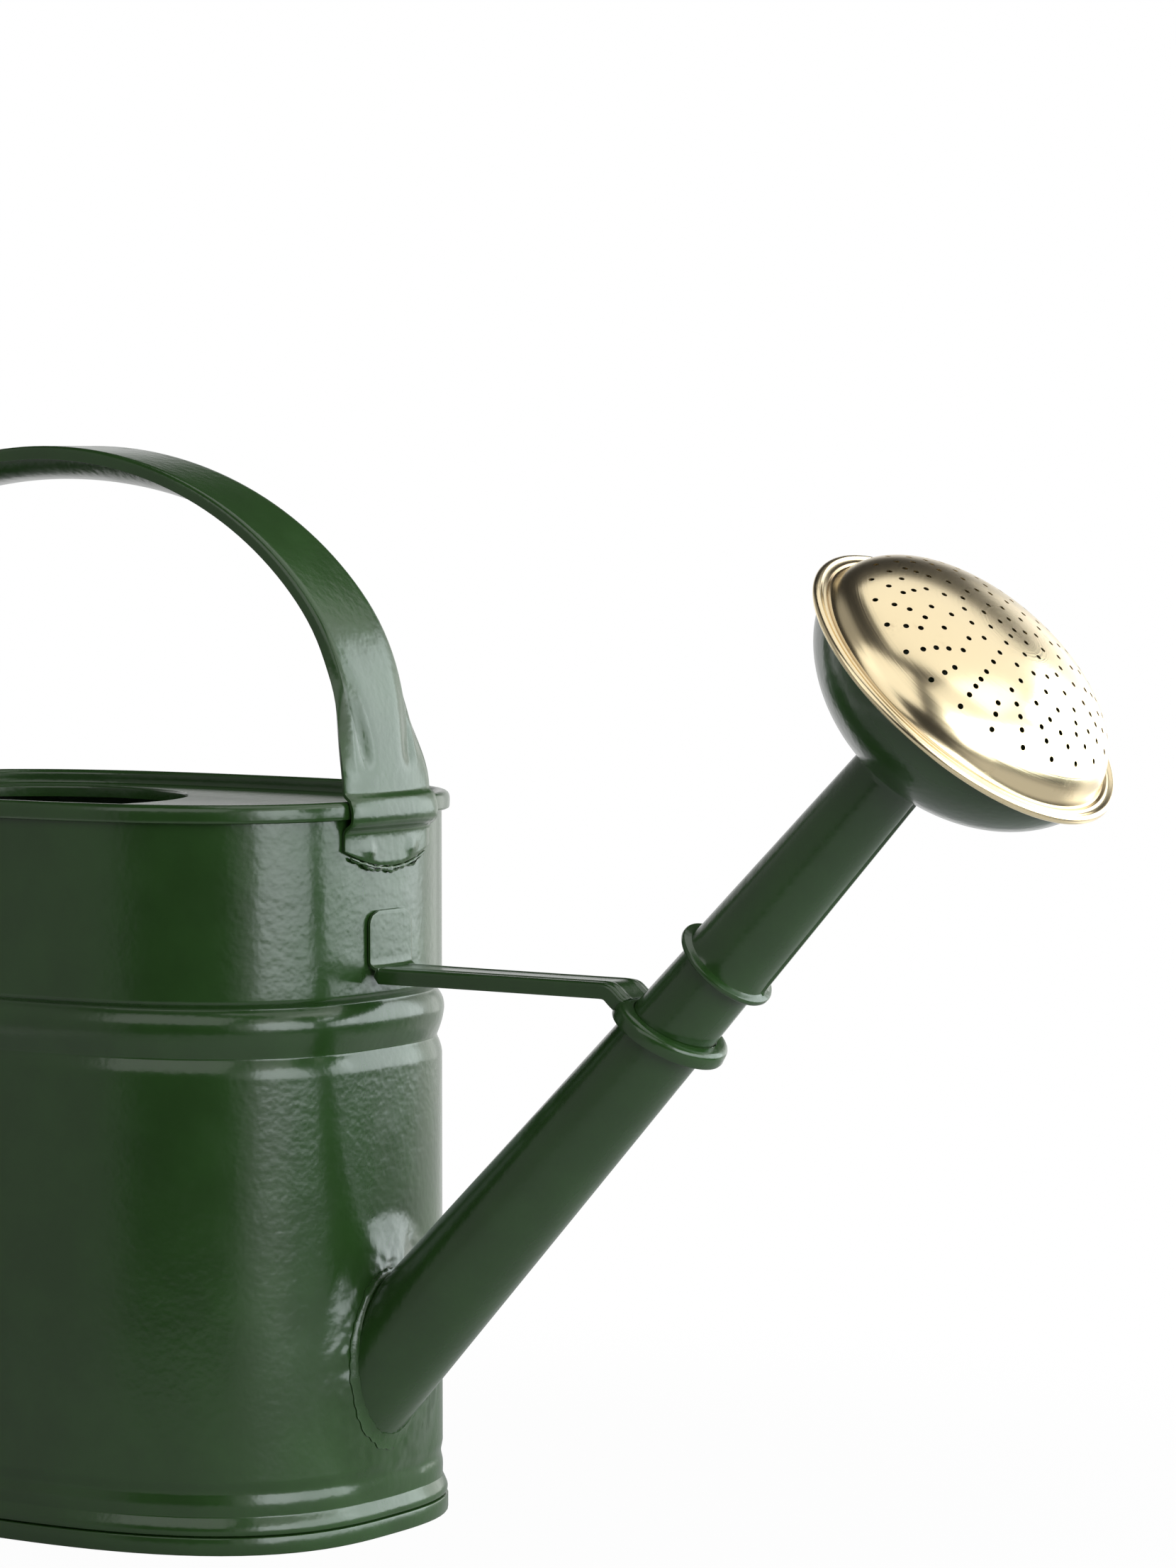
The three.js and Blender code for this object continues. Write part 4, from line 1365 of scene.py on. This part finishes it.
class BuildStage(bpy.types.Operator):
    """Lay a pale floor, hang soft lamps and set up the camera"""

    bl_idname = "watering_can.stage"
    bl_label = "Floor, Lamps and Camera"

    def execute(self, context):
        scene = context.scene
        stage = scene.can_stage
        self.floor(stage)
        self.sky(scene)
        self.lamp("window", 1, 10, (2.05, 0.76), stage.window, cool=True)
        self.lamp("window_top", 1, 35, (2.05, 0.75), stage.window * 0.24, 1.62)
        self.lamp("window_corner", 53, 14, (0.85, 0.95), stage.window * 0.5, cool=True)
        self.lamp("window_back", 84, 12, (0.55, 0.9), stage.window * 0.07)
        self.lamp("room_front", -84, 36, (1.3, 0.9), stage.window * 0.2)
        self.lamp("overhead", 40, 66, (1.6, 1.6), stage.overhead)
        self.camera(scene, stage)
        scene.view_settings.view_transform = "Standard"
        return {"FINISHED"}

    def floor(self, stage):
        bpy.ops.object.select_all(action="DESELECT")
        bpy.ops.mesh.primitive_circle_add(
            vertices=96, radius=stage.floor_radius, fill_type="NGON", location=(0, 0, -0.0002)
        )
        ground = bpy.context.object
        ground.name = "pale_floor"
        paint = Paint("pale_floor")
        tree = paint.tree
        tree.nodes.remove(paint.shader)
        seen = self.background_ray(paint)
        far = paint.length(paint.place()).ramp(0.16, stage.floor_radius - 0.02)
        matt = paint.node("ShaderNodeBsdfDiffuse", inputs={"Color": (*stage.floor, 1)})
        white = paint.node("ShaderNodeEmission", inputs={"Color": (1, 1, 1, 1), "Strength": 1.0})
        blend = paint.node(
            "ShaderNodeMixShader", inputs={0: seen * (far * 0.03 + 0.97), 1: matt, 2: white}
        )
        tree.links.new(blend.socket, tree.nodes["Material Output"].inputs["Surface"])
        ground.data.materials.append(paint.material)

    def background_ray(self, paint):
        """1 for rays to the eye; less where the floor lies mirrored in a gloss or a glass."""
        eye, gloss, glass = (
            paint.node("ShaderNodeLightPath", output=ray)
            for ray in ("Is Camera Ray", "Is Glossy Ray", "Is Transmission Ray")
        )
        return eye + (gloss + glass) * 0.12

    def sky(self, scene):
        """White to the eye; as light, a white backdrop in a room that is dim in front."""
        world = bpy.data.worlds.new("studio_room")
        scene.world = world
        world.use_nodes = True
        paint = Paint("studio_room", world.node_tree)
        heading = paint.node("ShaderNodeTexCoord", output="Generated")
        behind = self.facing(paint, heading, BACKDROP, 0).ramp(0.25, 0.62)
        lifted = self.facing(paint, heading, BACKDROP, 90).ramp(0.42, 0.14)
        beside = self.facing(paint, heading, -28, 8).ramp(0.86, 0.98)
        under = self.facing(paint, heading, 0, -90).ramp(0.24, 0.5)
        grey_wall = self.facing(paint, heading, 205, 0).ramp(0.52, 0.68)
        room = behind * lifted * 0.95 + grey_wall * 0.32 + beside * 0.8 + under * 0.55 + 0.03
        seen = paint.node("ShaderNodeLightPath", output="Is Camera Ray")
        background = paint.tree.nodes["Background"]
        background.inputs["Color"].default_value = (1, 1, 1, 1)
        paint.feed(background.inputs["Strength"], seen.maths("MAXIMUM", seen, room))

    def facing(self, paint, heading, azimuth, elevation):
        """How squarely a direction of the room looks towards an azimuth and an elevation."""
        return paint.vector(
            "DOT_PRODUCT", heading, self.direction(azimuth, elevation), output="Value"
        )

    def direction(self, azimuth, elevation):
        turn, lift = math.radians(azimuth), math.radians(elevation)
        return Vector((
            math.cos(turn) * math.cos(lift), math.sin(turn) * math.cos(lift), math.sin(lift)
        ))

    def lamp(self, name, azimuth, elevation, size, power, distance=1.35, cool=False):
        """A soft lamp that looks at the middle of the can."""
        heading = self.direction(azimuth, elevation)
        middle = Vector((0, 0, AIM_HEIGHT))
        bpy.ops.object.light_add(type="AREA", location=middle + heading * distance)
        lamp = bpy.context.object
        lamp.name = name
        lamp.data.shape = "RECTANGLE"
        lamp.data.size, lamp.data.size_y = size
        lamp.data.energy = power
        if cool:
            lamp.data.color = (0.9, 0.98, 1.0)
        lamp.visible_camera = False
        lamp.rotation_euler = (-heading).to_track_quat("-Z", "Y").to_euler()

    def camera(self, scene, stage):
        data = bpy.data.cameras.new("view")
        data.sensor_fit = "VERTICAL"
        data.sensor_height = 36
        data.lens = stage.lens
        data.clip_end = 50
        camera = bpy.data.objects.new("view", data)
        scene.collection.objects.link(camera)
        camera.location = (BODY_X + 1.0136, -1.2611, 0.318)
        forward = Vector((
            math.sin(stage.yaw) * math.cos(stage.pitch),
            math.cos(stage.yaw) * math.cos(stage.pitch),
            -math.sin(stage.pitch),
        ))
        camera.rotation_euler = forward.to_track_quat("-Z", "Y").to_euler()
        scene.camera = camera


# ---- add-on ----


class WateringCanPanel(bpy.types.Panel):
    """Buttons for the pieces of the can"""

    bl_idname = "VIEW3D_PT_watering_can"
    bl_label = "Watering Can"
    bl_space_type = "VIEW_3D"
    bl_region_type = "UI"
    bl_category = "Watering Can"

    def draw(self, context):
        for operator in OPERATORS:
            self.layout.operator(operator.bl_idname)


GROUPS = {
    "can_body": CanBody,
    "can_handle": CanHandle,
    "can_spout": CanSpout,
    "can_rose": CanRose,
    "can_finish": CanFinish,
    "can_stage": CanStage,
}
OPERATORS = (
    BuildBody, BuildBase, BuildDeck, BuildHandle, BuildLiner, BuildTabSolder,
    BuildSpout, BuildRootSolder, BuildBrace, BuildSocket, BuildBowl, BuildFace, BuildStage,
)


def scene_paint(name):
    """The finish of that name, mixed the first time that it is wanted."""
    known = bpy.data.materials.get(name)
    if known:
        return known
    scene = bpy.context.scene
    finish = scene.can_finish
    if name == "wall_coat":
        return powder_coat(finish, name, around=along_spout(scene.can_body, scene.can_spout))
    if name == "spun_brass":
        return spun_brass(finish, along_spout(scene.can_body, scene.can_spout), scene.can_rose)
    return {"powder_coat": powder_coat, "solder_coat": solder_coat}[name](finish, name)


def register():
    for name, group in GROUPS.items():
        bpy.utils.register_class(group)
        setattr(bpy.types.Scene, name, bpy.props.PointerProperty(type=group))
    for operator in OPERATORS:
        bpy.utils.register_class(operator)
    bpy.utils.register_class(WateringCanPanel)


def unregister():
    bpy.utils.unregister_class(WateringCanPanel)
    for operator in reversed(OPERATORS):
        bpy.utils.unregister_class(operator)
    for name, group in GROUPS.items():
        delattr(bpy.types.Scene, name)
        bpy.utils.unregister_class(group)


def main():
    register()
    for operator in OPERATORS:
        family, name = operator.bl_idname.split(".")
        getattr(getattr(bpy.ops, family), name)()


if __name__ == "__main__":
    main()
